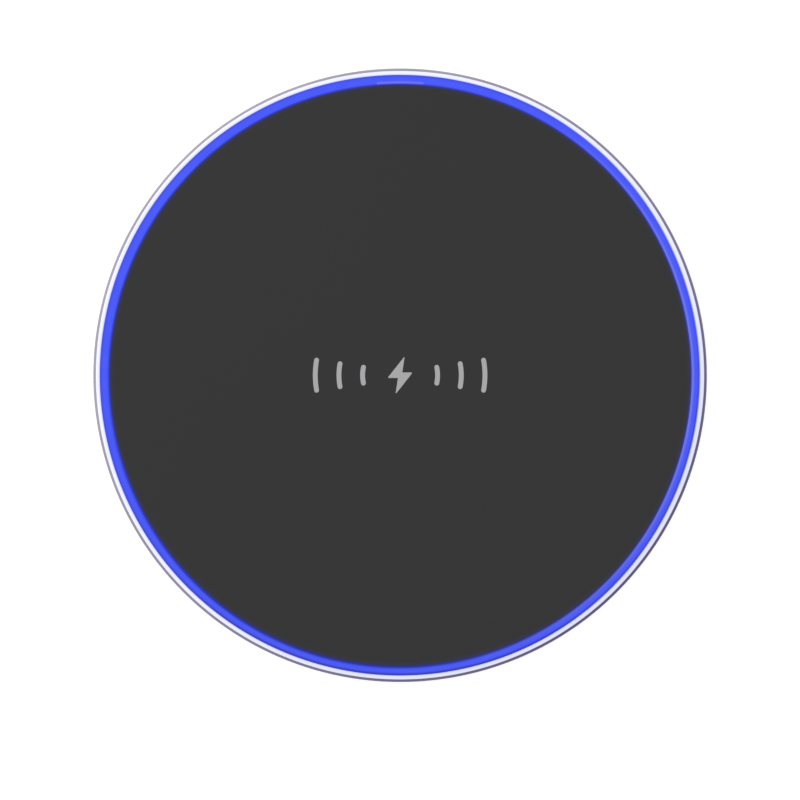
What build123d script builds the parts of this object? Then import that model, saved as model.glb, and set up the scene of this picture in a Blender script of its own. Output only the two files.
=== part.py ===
from build123d import *

# Slim round wireless charging pad, modelled as its real assembly.
# Frame: +Z up through the charging face, origin on the resting plane at the
# centre of the anti-slip foot, +Y towards the Micro-USB power socket.
# All sizes are in millimetres. _R is a radius, _T a thickness, _Z a height.

import os
from math import cos, radians, sin

os.makedirs("parts", exist_ok=True)

# ---------------------------------------------------------------- shared sizes
# radii, from the outside in
PAD_R = 50.0  # outside of the metal rim
LAND_R = 49.52  # where the bright top land ends and the bevel begins
RING_OUT_R = 48.80  # outside of the light ring's visible lip
RING_IN_R = 47.50  # inside of the visible lip
LAND_IN_R = RING_OUT_R + 0.05
DISC_R = RING_IN_R - 0.05
BASE_BORE_R = 48.25  # frame bore round the base cover
BORE_R = 47.9  # frame bore round the board
FLANGE_IN_R = 43.5  # inside of the light ring's flange

# heights, from the resting plane up
BASE_Z0 = 0.5  # underside of the base cover; the foot stands proud below it
BASE_Z1 = BASE_Z0 + 1.0  # top of the base cover's floor
RECESS_Z = BASE_Z0 + 0.3  # roof of the foot's recess
HEAD_SEAT_Z = 1.35  # where the screw heads bear
BASE_LEDGE_Z = 1.8  # frame ledge above the base cover's edge
BOARD_Z0 = 1.9
BOARD_Z1 = BOARD_Z0 + 0.8
FERRITE_Z0 = 3.5
FERRITE_Z1 = FERRITE_Z0 + 0.8
LEDGE_Z = 5.6  # frame ledge that carries the light ring
STEP_Z = 6.1  # top of the light ring's flange, underside of the plate's brim
PLATE_Z1 = 6.6  # top of the inner plate
TAPE_T = 0.1
DISC_Z0 = PLATE_Z1 + TAPE_T
RIM_TOP_Z = 7.3
LIP_TOP_Z = RIM_TOP_Z - 0.04
HEIGHT = 7.5  # resting plane to charging face

# foot
FOOT_IN_R, FOOT_OUT_R = 30.0, 43.0

# Micro-USB socket
USB_W, USB_H = 7.5, 2.45
USB_Y0, USB_Y1 = 43.9, 49.3  # rear and mouth
USB_WALL = 0.3
USB_CORNER_R = 0.45
USB_LEG_Y = 45.4

# transmitter coil
WIRE_R = 0.54
PITCH = 1.13
HALF_TURNS = 20
COIL_R0 = 10.7  # radius of the first half turn
COIL_Z = 4.95
QUARTER_PITCH = PITCH / 4
COIL_IN_X = COIL_R0 - QUARTER_PITCH  # x of the inner lead
COIL_OUT_X = QUARTER_PITCH + COIL_R0 + 2 * QUARTER_PITCH * (HALF_TURNS - 1)  # and the outer

# slots for the inner coil lead and for the thermistor leads: centre, then size
COIL_SLOT_AT, COIL_SLOT = (COIL_IN_X, -12.6), (2.2, 24.8)
NTC_SLOT_AT, NTC_SLOT = (0, 11.6), (2.0, 25.8)

SCREW_CIRCLE_R = 37.0
LED_CIRCLE_R = 45.4
LED_COUNT = 8
LED_ANGLE0 = 22.5
LED_ANGLES = [LED_ANGLE0 + 360 / LED_COUNT * i for i in range(LED_COUNT)]


def polar(radius, angle):
    """The x and y of a point at a radius and an angle in degrees."""
    return (radius * cos(radians(angle)), radius * sin(radians(angle)))


def at_screws():
    """Places of the four case screws."""
    return PolarLocations(SCREW_CIRCLE_R, 4, start_angle=45)


def at_leds():
    """Places of the LEDs."""
    return PolarLocations(LED_CIRCLE_R, LED_COUNT, start_angle=LED_ANGLE0)


# ---------------------------------------------------------------- rim frame
WINDOW_W, WINDOW_H = 8.1, 2.75
UNDER_EDGE = (48.78, 1.04)  # where the rounded under-edge ends

# Turned aluminium ring: flat bright land, polished bevel, straight side, rounded under-edge.
with BuildPart() as rim_frame:
    with BuildSketch(Plane.XZ):
        with BuildLine():
            Polyline(
                (LAND_IN_R, LEDGE_Z),
                (LAND_IN_R, RIM_TOP_Z - 0.06),
                (LAND_IN_R + 0.06, RIM_TOP_Z),
                (LAND_R, RIM_TOP_Z),
                (PAD_R, RIM_TOP_Z - 0.48),
                (PAD_R, 3.40),
            )
            TangentArc((PAD_R, 3.40), UNDER_EDGE, tangent=(0, -1))
            Polyline(
                UNDER_EDGE,
                (48.60, 0.90),
                (48.33, 0.90),
                (BASE_BORE_R, 0.98),
                (BASE_BORE_R, BASE_LEDGE_Z),
                (BORE_R, BASE_LEDGE_Z),
                (BORE_R, LEDGE_Z),
                (LAND_IN_R, LEDGE_Z),
            )
        make_face()
    revolve(axis=Axis.Z)
    # window for the power socket
    with BuildSketch(Plane.XZ.offset(-52)):
        with Locations((0, BOARD_Z1 + USB_H / 2)):
            RectangleRounded(WINDOW_W, WINDOW_H, 1.1)
    extrude(amount=6, mode=Mode.SUBTRACT)
    # keyway opposite the socket, for the base cover's locating rib
    with BuildSketch(Plane.XY.offset(BASE_LEDGE_Z)):
        with Locations((0, -47.2)):
            Rectangle(3.1, 2.04)
    extrude(amount=LEDGE_Z - BASE_LEDGE_Z, mode=Mode.SUBTRACT)

# ---------------------------------------------------------------- base cover
COVER_R = BASE_BORE_R - 0.10
COVER_EDGE_Z = BASE_LEDGE_Z - 0.02
FOOT_GAP = 0.1  # round the foot, in its recess
OUTER_RIB_R = (42.0, 42.8)  # circular rib that the board rests on
INNER_RIB_R = (24.6, 25.4)  # circular rib inside the board's opening

with BuildPart() as base_cover:
    with BuildSketch(Plane.XZ):
        with BuildLine():
            Polyline(
                (0, BASE_Z0 + 0.15),
                (27.0, BASE_Z0 + 0.15),
                (27.15, BASE_Z0),
                (FOOT_IN_R - FOOT_GAP, BASE_Z0),
                (FOOT_IN_R - FOOT_GAP, RECESS_Z),
                (FOOT_OUT_R + FOOT_GAP, RECESS_Z),
                (FOOT_OUT_R + FOOT_GAP, BASE_Z0),
                (46.6, BASE_Z0),
                (48.00, 0.86),
                (COVER_R, 0.98),
                (COVER_R, COVER_EDGE_Z),
                (46.9, COVER_EDGE_Z),
                (46.6, BASE_Z1),
                (OUTER_RIB_R[1], BASE_Z1),
                (OUTER_RIB_R[1], BOARD_Z0),
                (OUTER_RIB_R[0], BOARD_Z0),
                (OUTER_RIB_R[0], BASE_Z1),
                (INNER_RIB_R[1], BASE_Z1),
                (INNER_RIB_R[1], 3.1),
                (INNER_RIB_R[0], 3.1),
                (INNER_RIB_R[0], BASE_Z1),
                (0, BASE_Z1),
                close=True,
            )
        make_face()
    revolve(axis=Axis.Z)
    # board standoffs, one round each screw
    with BuildSketch(Plane.XY.offset(BASE_Z1)):
        with at_screws():
            Circle(2.9)
    extrude(amount=BOARD_Z0 - BASE_Z1)
    # radial stiffening ribs on the floor
    with BuildSketch(Plane.XY.offset(BASE_Z1)):
        with PolarLocations(33.7, 12, start_angle=15):
            Rectangle(16.9, 0.8)
    extrude(amount=0.25)
    # rib that locates the board and keys into the frame
    with BuildSketch(Plane.XY.offset(BASE_Z1)):
        with Locations((0, -46.75)):
            Rectangle(2.9, 2.5)
    extrude(amount=2.4)
    # screw holes with a pocket for each head
    with Locations(Plane.XY.offset(BOARD_Z0)):
        with at_screws():
            Hole(radius=1.0, depth=3)
    with BuildSketch(Plane.XY.offset(HEAD_SEAT_Z)):
        with at_screws():
            Circle(2.0)
    extrude(amount=-1.2, mode=Mode.SUBTRACT)
    # relief under the socket's solder legs
    with BuildSketch(Plane.XY.offset(1.1)):
        with Locations((0, USB_LEG_Y)):
            Rectangle(9.6, 2.6)
    extrude(amount=0.5, mode=Mode.SUBTRACT)

# ---------------------------------------------------------------- foot
FOOT_T = RECESS_Z - TAPE_T
FOOT_TAPE_INSET = 0.3

with BuildPart() as foot_adhesive:
    with BuildSketch(Plane.XY.offset(FOOT_T)):
        Circle(FOOT_OUT_R - FOOT_TAPE_INSET)
        Circle(FOOT_IN_R + FOOT_TAPE_INSET, mode=Mode.SUBTRACT)
    extrude(amount=TAPE_T)

with BuildPart() as foot_ring:
    with BuildSketch(Plane.XY):
        Circle(FOOT_OUT_R)
        Circle(FOOT_IN_R, mode=Mode.SUBTRACT)
    extrude(amount=FOOT_T)
    fillet(foot_ring.faces().sort_by(Axis.Z)[0].edges(), radius=0.25)

# ---------------------------------------------------------------- case screws
HEAD_R, HEAD_T = 1.7, 0.5
SHANK_R, SHANK_L = 0.70, 4.1
CROSS_L, CROSS_W, CROSS_DEPTH = 1.9, 0.38, 0.3

with BuildPart() as case_screws:
    with BuildSketch(Plane.XY.offset(HEAD_SEAT_Z - HEAD_T)):
        with at_screws():
            Circle(HEAD_R)
    extrude(amount=HEAD_T)
    fillet(case_screws.faces().group_by(Axis.Z)[0].edges(), radius=0.2)
    with BuildSketch(Plane.XY.offset(HEAD_SEAT_Z)):
        with at_screws():
            Circle(SHANK_R)
    extrude(amount=SHANK_L)
    # tapered tip
    with BuildSketch(Plane.XY.offset(HEAD_SEAT_Z + SHANK_L)):
        with at_screws():
            Circle(SHANK_R)
    extrude(amount=0.4, taper=45)
    # cross recess
    with BuildSketch(Plane.XY.offset(HEAD_SEAT_Z - HEAD_T)):
        with at_screws():
            Rectangle(CROSS_L, CROSS_W)
            Rectangle(CROSS_W, CROSS_L)
    extrude(amount=CROSS_DEPTH, mode=Mode.SUBTRACT)

# ---------------------------------------------------------------- main board
BOARD_OUT_R, BOARD_IN_R = 47.3, 25.9
LEG_SLOT_X = 3.95

with BuildPart() as main_board:
    with BuildSketch(Plane.XY.offset(BOARD_Z0)):
        Circle(BOARD_OUT_R)
        Circle(BOARD_IN_R, mode=Mode.SUBTRACT)
        with at_screws():
            Circle(1.1, mode=Mode.SUBTRACT)
        # notch for the base cover's locating rib
        with Locations((0, -46.9)):
            Rectangle(3.2, 3.0, mode=Mode.SUBTRACT)
        # slots for the socket's legs
        with Locations((-LEG_SLOT_X, USB_LEG_Y), (LEG_SLOT_X, USB_LEG_Y)):
            SlotOverall(1.5, 0.7, rotation=90, mode=Mode.SUBTRACT)
    extrude(amount=BOARD_Z1 - BOARD_Z0)

# ---------------------------------------------------------------- Micro-USB socket
# outside of the shell's section as (x, z), with the upper corners cut away
USB_OUTLINE = [
    (-USB_W / 2, BOARD_Z1),
    (USB_W / 2, BOARD_Z1),
    (USB_W / 2, BOARD_Z1 + 1.50),
    (USB_W / 2 - 0.90, BOARD_Z1 + USB_H),
    (-USB_W / 2 + 0.90, BOARD_Z1 + USB_H),
    (-USB_W / 2, BOARD_Z1 + 1.50),
]
LATCH_X = 1.7
LEG_X = 3.85

with BuildPart() as usb_shell:
    with BuildSketch(Plane.XZ.offset(-USB_Y1)) as shell_section:
        with BuildLine():
            Polyline(*USB_OUTLINE, close=True)
        make_face()
        fillet(shell_section.vertices(), radius=USB_CORNER_R)
        offset(amount=-USB_WALL, kind=Kind.ARC, mode=Mode.SUBTRACT)
    extrude(amount=USB_Y1 - USB_Y0)
    # spring latch windows in the roof
    with BuildSketch(Plane.XY.offset(BOARD_Z1 + USB_H - 0.6)):
        with Locations((-LATCH_X, 46.9), (LATCH_X, 46.9)):
            Rectangle(0.75, 2.1)
    extrude(amount=0.8, mode=Mode.SUBTRACT)
    # latch tongues in the windows
    with BuildSketch(Plane.XY.offset(BOARD_Z1 + USB_H - 0.34)):
        with Locations((-LATCH_X, 46.75), (LATCH_X, 46.75)):
            Rectangle(0.5, 2.4)
    extrude(amount=0.18)
    # solder legs through the board
    with BuildSketch(Plane.XY.offset(1.72)):
        with Locations((-LEG_X, USB_LEG_Y), (LEG_X, USB_LEG_Y)):
            Rectangle(0.3, 1.1)
    extrude(amount=2.2)

CONTACT_COUNT, CONTACT_PITCH = 5, 0.65
CONTACT_W, CONTACT_T = 0.38, 0.12
CONTACT_Z = 3.78  # underside of each contact's long arm
CONTACT_Y = (42.75, 43.62, 48.35)  # tail end, riser, tip

with BuildPart() as usb_contacts:
    tail_y, riser_y, tip_y = CONTACT_Y
    for i in range(CONTACT_COUNT):
        x = (i - (CONTACT_COUNT - 1) / 2) * CONTACT_PITCH
        with BuildSketch(Plane.YZ.offset(x - CONTACT_W / 2)):
            with BuildLine():
                Polyline(
                    (tail_y, BOARD_Z1),
                    (riser_y, BOARD_Z1),
                    (riser_y, CONTACT_Z),
                    (tip_y, CONTACT_Z),
                    (tip_y, CONTACT_Z + CONTACT_T),
                    (riser_y - CONTACT_T, CONTACT_Z + CONTACT_T),
                    (riser_y - CONTACT_T, BOARD_Z1 + CONTACT_T),
                    (tail_y, BOARD_Z1 + CONTACT_T),
                    close=True,
                )
            make_face()
        extrude(amount=CONTACT_W)

INSULATOR_Y1 = 45.3  # front of the block, root of the tongue
TONGUE_Y1 = 48.6

with BuildPart() as usb_insulator:
    with BuildSketch(Plane.XZ.offset(-INSULATOR_Y1)) as block_section:
        with BuildLine():
            Polyline(*USB_OUTLINE, close=True)
        make_face()
        fillet(block_section.vertices(), radius=USB_CORNER_R)
        offset(amount=-USB_WALL - 0.02, kind=Kind.ARC, mode=Mode.REPLACE)
    extrude(amount=INSULATOR_Y1 - USB_Y0)
    # tongue that carries the contacts
    with BuildSketch(Plane.XZ.offset(-TONGUE_Y1)):
        with Locations((0, 4.17)):
            RectangleRounded(3.7, 0.56, 0.12)
    extrude(amount=TONGUE_Y1 - INSULATOR_Y1)
    # shallow pad on the rear of the block
    with BuildSketch(Plane.XZ.offset(-USB_Y0 - 0.001)):
        with Locations((0, 4.0)):
            Rectangle(3.4, 0.9)
    extrude(amount=0.25)
    add(usb_contacts.part, mode=Mode.SUBTRACT)

# ---------------------------------------------------------------- coil
COIL_PAD_Z = BOARD_Z1 + WIRE_R + 0.01  # wire centre where a lead lies on the board
COIL_SLOT_Z = 3.80  # wire centre in the ferrite slot
COIL_START = (COIL_IN_X, -28.6, COIL_PAD_Z)
ALONG_Y = ((0, 1, 0), (0, 1, 0))  # end tangents of every bend in a lead

with BuildPart() as transmitter_coil:
    with BuildLine() as coil_path:
        # inner lead: from the board, through the ferrite slot, up into the winding
        Line(COIL_START, (COIL_IN_X, -26.6, COIL_PAD_Z))
        Spline(
            (COIL_IN_X, -26.6, COIL_PAD_Z),
            (COIL_IN_X, -22.6, COIL_SLOT_Z),
            tangents=ALONG_Y,
        )
        Line((COIL_IN_X, -22.6, COIL_SLOT_Z), (COIL_IN_X, -3.9, COIL_SLOT_Z))
        Spline((COIL_IN_X, -3.9, COIL_SLOT_Z), (COIL_IN_X, 0, COIL_Z), tangents=ALONG_Y)
        # planar winding, each half turn an arc on alternating centres
        for k in range(HALF_TURNS):
            radius = COIL_R0 + 2 * QUARTER_PITCH * k
            side = 1 if k % 2 == 0 else -1
            centre_x = -side * QUARTER_PITCH
            ThreePointArc(
                (centre_x + side * radius, 0, COIL_Z),
                (centre_x, side * radius, COIL_Z),
                (centre_x - side * radius, 0, COIL_Z),
            )
        # outer lead, down to the board
        Line((COIL_OUT_X, 0, COIL_Z), (COIL_OUT_X, 10.4, COIL_Z))
        Spline((COIL_OUT_X, 10.4, COIL_Z), (COIL_OUT_X, 17.0, COIL_PAD_Z), tangents=ALONG_Y)
        Line((COIL_OUT_X, 17.0, COIL_PAD_Z), (COIL_OUT_X, 19.6, COIL_PAD_Z))
    with BuildSketch(Plane(origin=COIL_START, z_dir=(0, 1, 0))):
        Circle(WIRE_R)
    sweep(path=coil_path.wire())

with BuildPart() as coil_adhesive:
    with BuildSketch(Plane.XY.offset(LEDGE_Z - TAPE_T)):
        Circle(21.8)
        Circle(10.4, mode=Mode.SUBTRACT)
    extrude(amount=TAPE_T)

with BuildPart() as ferrite_shield:
    with BuildSketch(Plane.XY.offset(FERRITE_Z0)):
        Circle(24.0)
        with Locations(COIL_SLOT_AT):
            Rectangle(*COIL_SLOT, mode=Mode.SUBTRACT)
        with Locations(NTC_SLOT_AT):
            Rectangle(*NTC_SLOT, mode=Mode.SUBTRACT)
    extrude(amount=FERRITE_Z1 - FERRITE_Z0)

with BuildPart() as ferrite_adhesive:
    with BuildSketch(Plane.XY.offset(FERRITE_Z1)):
        Circle(22.2)
        Circle(8.0, mode=Mode.SUBTRACT)
        with Locations(COIL_SLOT_AT):
            Rectangle(*COIL_SLOT, mode=Mode.SUBTRACT)
        with Locations(NTC_SLOT_AT):
            Rectangle(*NTC_SLOT, mode=Mode.SUBTRACT)
    extrude(amount=TAPE_T)

with BuildPart() as coil_foam_pad:
    with BuildSketch(Plane.XY.offset(BASE_Z1)):
        Circle(23.4)
    extrude(amount=FERRITE_Z0 - BASE_Z1)
    # groove in the top under the inner coil lead
    with BuildSketch(Plane.XY.offset(3.0)):
        with Locations(COIL_SLOT_AT):
            Rectangle(*COIL_SLOT)
    extrude(amount=1.0, mode=Mode.SUBTRACT)

# ---------------------------------------------------------------- thermistor
BEAD_Z = 4.68
BEAD_R = 0.85
NECK_Y, NECK_R = 1.75, 0.30  # where the bead ends round the leads
NTC_WIRE_R = 0.15
NTC_SLOT_Z = 3.92  # lead centre in the ferrite slot
NTC_PAD_Z = BOARD_Z1 + 0.16  # lead centre on the board

with BuildPart() as thermistor_leads:
    for x in (-0.32, 0.32):
        with BuildLine() as lead_path:
            Line((x, 1.0, BEAD_Z), (x, 1.9, BEAD_Z))
            Spline((x, 1.9, BEAD_Z), (x, 5.6, NTC_SLOT_Z), tangents=ALONG_Y)
            Line((x, 5.6, NTC_SLOT_Z), (x, 24.4, NTC_SLOT_Z))
            Spline((x, 24.4, NTC_SLOT_Z), (x, 27.6, NTC_PAD_Z), tangents=ALONG_Y)
            Line((x, 27.6, NTC_PAD_Z), (x, 28.9, NTC_PAD_Z))
        with BuildSketch(Plane(origin=(x, 1.0, BEAD_Z), z_dir=(0, 1, 0))):
            Circle(NTC_WIRE_R)
        sweep(path=lead_path.wire())

with BuildPart() as thermistor_bead:
    # teardrop of epoxy, revolved about the line along which the leads leave;
    # the sketch's x runs along +Y and its y along +Z
    with BuildSketch(Plane(origin=(0, 0, BEAD_Z), x_dir=(0, 1, 0), z_dir=(1, 0, 0))):
        with BuildLine():
            cap = CenterArc((0, 0), BEAD_R, 60, 120)
            Spline(cap @ 0, (NECK_Y, NECK_R), tangents=((0.866, -0.5), (0.9, -0.25)))
            Line((NECK_Y, NECK_R), (NECK_Y, 0))
            Line((NECK_Y, 0), (-BEAD_R, 0))
        make_face()
    revolve(axis=Axis((0, 0, BEAD_Z), (0, 1, 0)))
    add(thermistor_leads.part, mode=Mode.SUBTRACT)

# ---------------------------------------------------------------- light ring
with BuildPart() as light_ring:
    with BuildSketch(Plane.XZ) as ring_profile:
        with BuildLine():
            Polyline(
                (FLANGE_IN_R, LEDGE_Z),
                (RING_OUT_R, LEDGE_Z),
                (RING_OUT_R, LIP_TOP_Z),
                (RING_IN_R, LIP_TOP_Z),
                (RING_IN_R, STEP_Z),
                (FLANGE_IN_R, STEP_Z),
                close=True,
            )
        make_face()
        fillet(ring_profile.vertices().group_by(Axis.Y)[-1], radius=0.16)
    revolve(axis=Axis.Z)
    # entry dimple over each LED
    with BuildSketch(Plane.XY.offset(LEDGE_Z)):
        with at_leds():
            Circle(1.35)
    extrude(amount=0.22, taper=35, mode=Mode.SUBTRACT)

# ---------------------------------------------------------------- inner top plate
BRIM_R = 47.35
OUTER_WALL_Z0, INNER_WALL_Z0 = 4.5, 4.7  # lower edges of the coil-centring ribs

with BuildPart() as top_plate:
    with BuildSketch(Plane.XY.offset(LEDGE_Z)):
        Circle(FLANGE_IN_R - 0.1)
    extrude(amount=STEP_Z - LEDGE_Z)
    with BuildSketch(Plane.XY.offset(STEP_Z)):
        Circle(BRIM_R)
    extrude(amount=PLATE_Z1 - STEP_Z)
    # screw posts
    with BuildSketch(Plane.XY.offset(BOARD_Z1)):
        with at_screws():
            Circle(2.3)
    extrude(amount=LEDGE_Z - BOARD_Z1)
    # outer rib that centres the coil, with a gap for the outer lead
    with BuildSketch(Plane.XY.offset(OUTER_WALL_Z0)):
        Circle(23.4)
        Circle(22.6, mode=Mode.SUBTRACT)
        with Locations((22.6, 7.6)):
            Rectangle(5.0, 8.4, mode=Mode.SUBTRACT)
    extrude(amount=LEDGE_Z - OUTER_WALL_Z0)
    # inner rib, with a gap for the thermistor leads
    with BuildSketch(Plane.XY.offset(INNER_WALL_Z0)):
        Circle(9.6)
        Circle(8.8, mode=Mode.SUBTRACT)
        with Locations((0, 9.2)):
            Rectangle(3.2, 2.4, mode=Mode.SUBTRACT)
    extrude(amount=LEDGE_Z - INNER_WALL_Z0)
    # pilot holes for the screws
    with BuildSketch(Plane.XY.offset(BOARD_Z1)):
        with at_screws():
            Circle(SHANK_R + 0.02)
    extrude(amount=3.4, mode=Mode.SUBTRACT)

# ---------------------------------------------------------------- charging disc and its mark
MARK_STROKE, MARK_T = 0.78, 0.05
MARK_ARCS = ((6.1, 12.2), (9.95, 10.8), (13.8, 10.2))  # radius, half angle in degrees

with BuildPart() as disc_adhesive:
    with BuildSketch(Plane.XY.offset(PLATE_Z1)):
        Circle(46.9)
    extrude(amount=TAPE_T)

# lightning bolt with three arcs on its left and three on its right
with BuildPart() as charging_mark:
    with BuildSketch(Plane.XY.offset(HEIGHT - MARK_T)):
        Polygon(
            (0.75, 3.10),
            (-2.05, -0.45),
            (-0.35, -0.45),
            (-0.75, -3.10),
            (2.05, 0.45),
            (0.35, 0.45),
            align=None,
        )
        for radius, half_angle in MARK_ARCS:
            for start in (-half_angle, 180 - half_angle):
                arc = CenterArc((0, 0), radius, start, 2 * half_angle, mode=Mode.PRIVATE)
                SlotArc(arc, MARK_STROKE)
    extrude(amount=MARK_T)

with BuildPart() as charging_disc:
    with BuildSketch(Plane.XY.offset(DISC_Z0)):
        Circle(DISC_R)
    extrude(amount=HEIGHT - DISC_Z0)
    fillet(charging_disc.faces().sort_by(Axis.Z)[-1].edges(), radius=0.25)
    add(charging_mark.part, mode=Mode.SUBTRACT)


# ---------------------------------------------------------------- helpers for parts on the board
# In these helpers z0 and z1 are heights above the top of the board.
def block(x, y, angle, length, width, z0, z1):
    """Join one rectangular solid to the part being built."""
    with Locations(Location((x, y, BOARD_Z1 + z0), (0, 0, angle))):
        Box(length, width, z1 - z0, align=(Align.CENTER, Align.CENTER, Align.MIN))


def end_terminals(x, y, angle, body_length, length, width, z1):
    """Join a terminal at each end of a chip capacitor's or resistor's body."""
    for side in (-1, 1):
        dx, dy = polar(side * (body_length + length) / 2, angle)
        block(x + dx, y + dy, angle, length, width, 0, z1)


def chip_bodies(sites, length, width, z0, z1, bevel):
    """Leaded packages at (x, y, angle) sites, bevelled round the top."""
    with BuildPart() as chips:
        for x, y, angle in sites:
            block(x, y, angle, length, width, z0, z1)
        chamfer(chips.faces().filter_by(Axis.Z).group_by(Axis.Z)[-1].edges(), length=bevel)
    return chips


def gull_leads(sites, rows, profile):
    """Bent leads of the packages at (x, y, angle) sites.

    rows: (turn in degrees, places along the package) for each side
    profile: closed (distance out from the package centre, height) outline
    """
    with BuildPart() as leads:
        for x, y, angle in sites:
            for turn, places in rows:
                for place in places:
                    dx, dy = polar(place, angle + turn)
                    lead_plane = Plane(
                        origin=(x + dx, y + dy, BOARD_Z1),
                        x_dir=(*polar(1, angle + turn + 90), 0),
                        z_dir=(*polar(1, angle + turn), 0),
                    )
                    with BuildSketch(lead_plane.offset(-0.2)):
                        with BuildLine():
                            Polyline(*profile, close=True)
                        make_face()
                    extrude(amount=0.4)
    return leads


# ---------------------------------------------------------------- controller
# square leadless package with a pin-one dimple
CONTROLLER_X, CONTROLLER_Y = 12.0, 35.5
CONTROLLER_TOP = 0.9

with BuildPart() as controller_chip:
    block(CONTROLLER_X, CONTROLLER_Y, 0, 6.0, 6.0, 0.05, CONTROLLER_TOP)
    chamfer(controller_chip.faces().sort_by(Axis.Z)[-1].edges(), length=0.08)
    with BuildSketch(Plane.XY.offset(BOARD_Z1 + CONTROLLER_TOP)):
        with Locations((CONTROLLER_X - 2.1, CONTROLLER_Y + 2.1)):
            Circle(0.35)
    extrude(amount=-0.08, mode=Mode.SUBTRACT)

# eight pads along each side
with BuildPart() as controller_pads:
    for angle in (0, 90, 180, 270):
        for i in range(8):
            out_x, out_y = polar(2.85, angle)
            along_x, along_y = polar((i - 3.5) * 0.65, angle + 90)
            x = CONTROLLER_X + out_x + along_x
            y = CONTROLLER_Y + out_y + along_y
            block(x, y, angle, 0.5, 0.28, 0, 0.05)

# ---------------------------------------------------------------- drivers and regulator
# driver transistors: two eight-lead packages
DRIVER_SITES = ((-33.6, -12.6, 111), (-35.6, -3.6, 96))
DRIVER_PLACES = [(i - 1.5) * 1.27 for i in range(4)]
DRIVER_LEAD = (
    (1.96, 0.72), (2.40, 0.72), (2.60, 0.14), (3.10, 0.14),
    (3.10, 0.0), (2.48, 0.0), (2.28, 0.58), (1.96, 0.58),
)
driver_chips = chip_bodies(DRIVER_SITES, length=4.9, width=3.9, z0=0.15, z1=1.6, bevel=0.25)
driver_leads = gull_leads(DRIVER_SITES, ((0, DRIVER_PLACES), (180, DRIVER_PLACES)), DRIVER_LEAD)

# regulator: a small five-lead package
REGULATOR_SITES = ((-13.0, 35.0, 20),)
REGULATOR_ROWS = ((0, (-0.95, 0.0, 0.95)), (180, (-0.95, 0.95)))
REGULATOR_LEAD = (
    (0.81, 0.55), (1.05, 0.55), (1.20, 0.12), (1.45, 0.12),
    (1.45, 0.0), (1.10, 0.0), (0.95, 0.43), (0.81, 0.43),
)
regulator_chip = chip_bodies(REGULATOR_SITES, length=2.9, width=1.6, z0=0.1, z1=1.15, bevel=0.12)
regulator_leads = gull_leads(REGULATOR_SITES, REGULATOR_ROWS, REGULATOR_LEAD)

# ---------------------------------------------------------------- capacitors and resistors
# chip capacitors: x, y, angle, length, width, height
CAPACITORS = [
    # resonant bank
    (31.6, 9.0, 100, 3.2, 1.6, 1.5),
    (33.9, 9.4, 100, 3.2, 1.6, 1.5),
    (36.2, 9.8, 100, 3.2, 1.6, 1.5),
    (38.5, 10.2, 100, 3.2, 1.6, 1.5),
    # input filter beside the socket
    (-7.6, 40.4, 90, 3.2, 2.5, 2.0),
    (-7.6, 36.2, 90, 3.2, 2.5, 2.0),
    (-11.2, 40.6, 90, 3.2, 1.6, 1.2),
    # decoupling round the chips
    (6.9, 37.2, 90, 1.6, 0.8, 0.8),
    (6.9, 34.6, 90, 1.6, 0.8, 0.8),
    (17.2, 37.2, 90, 1.6, 0.8, 0.8),
    (17.2, 34.4, 90, 1.6, 0.8, 0.8),
    (-17.0, 34.6, 20, 1.6, 0.8, 0.8),
    (-29.0, -10.8, 111, 1.6, 0.8, 0.8),
    (-30.9, -3.2, 96, 1.6, 0.8, 0.8),
]
# shares of a capacitor's length
BODY_SHARE, TERMINAL_SHARE = 0.68, 0.16

with BuildPart() as capacitor_bodies:
    for x, y, angle, length, width, height in CAPACITORS:
        block(x, y, angle, length * BODY_SHARE, width, 0.05, height)

with BuildPart() as capacitor_terminals:
    for x, y, angle, length, width, height in CAPACITORS:
        end_terminals(
            x, y, angle, length * BODY_SHARE, length * TERMINAL_SHARE, width, height
        )

# chip resistors, all one size: x, y, angle
RESISTORS = [
    (3.6, 34.6, 90), (3.6, 31.8, 90), (1.4, 33.2, 90), (10.0, 30.0, 0),
    (13.4, 30.0, 0), (20.4, 36.0, 60), (22.2, 33.4, 60), (-18.6, 38.2, 30),
    (-21.8, 36.4, 30), (-30.4, -17.8, 120), (-38.6, -13.6, 110), (-40.4, -6.6, 98),
    (30.0, 15.8, 0), (14.6, -29.6, 0),
]
RESISTOR_BODY_L, RESISTOR_TERMINAL_L, RESISTOR_W = 1.04, 0.28, 0.8

with BuildPart() as resistor_bodies:
    for x, y, angle in RESISTORS:
        block(x, y, angle, RESISTOR_BODY_L, RESISTOR_W, 0.03, 0.45)

with BuildPart() as resistor_terminals:
    for x, y, angle in RESISTORS:
        end_terminals(x, y, angle, RESISTOR_BODY_L, RESISTOR_TERMINAL_L, RESISTOR_W, 0.47)

# ---------------------------------------------------------------- LEDs
# white package with a reflector cup, clear lens in the cup, two side terminals
LED_TOP = 1.9
CUP_R, CUP_DEPTH, CUP_TAPER = 1.12, 0.7, 18

with BuildPart() as led_packages:
    for angle in LED_ANGLES:
        block(*polar(LED_CIRCLE_R, angle), angle, 2.6, 3.2, 0.05, LED_TOP)
    with BuildSketch(Plane.XY.offset(BOARD_Z1 + LED_TOP)):
        with at_leds():
            Circle(CUP_R)
    extrude(amount=-CUP_DEPTH, taper=CUP_TAPER, mode=Mode.SUBTRACT)

with BuildPart() as led_lenses:
    with BuildSketch(Plane.XY.offset(BOARD_Z1 + LED_TOP)):
        with at_leds():
            Circle(CUP_R)
    extrude(amount=-CUP_DEPTH, taper=CUP_TAPER)

with BuildPart() as led_terminals:
    for angle in LED_ANGLES:
        x, y = polar(LED_CIRCLE_R, angle)
        for side in (-1, 1):
            dx, dy = polar(side * 1.68, angle + 90)
            block(x + dx, y + dy, angle, 1.8, 0.16, 0, 1.0)

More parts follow.
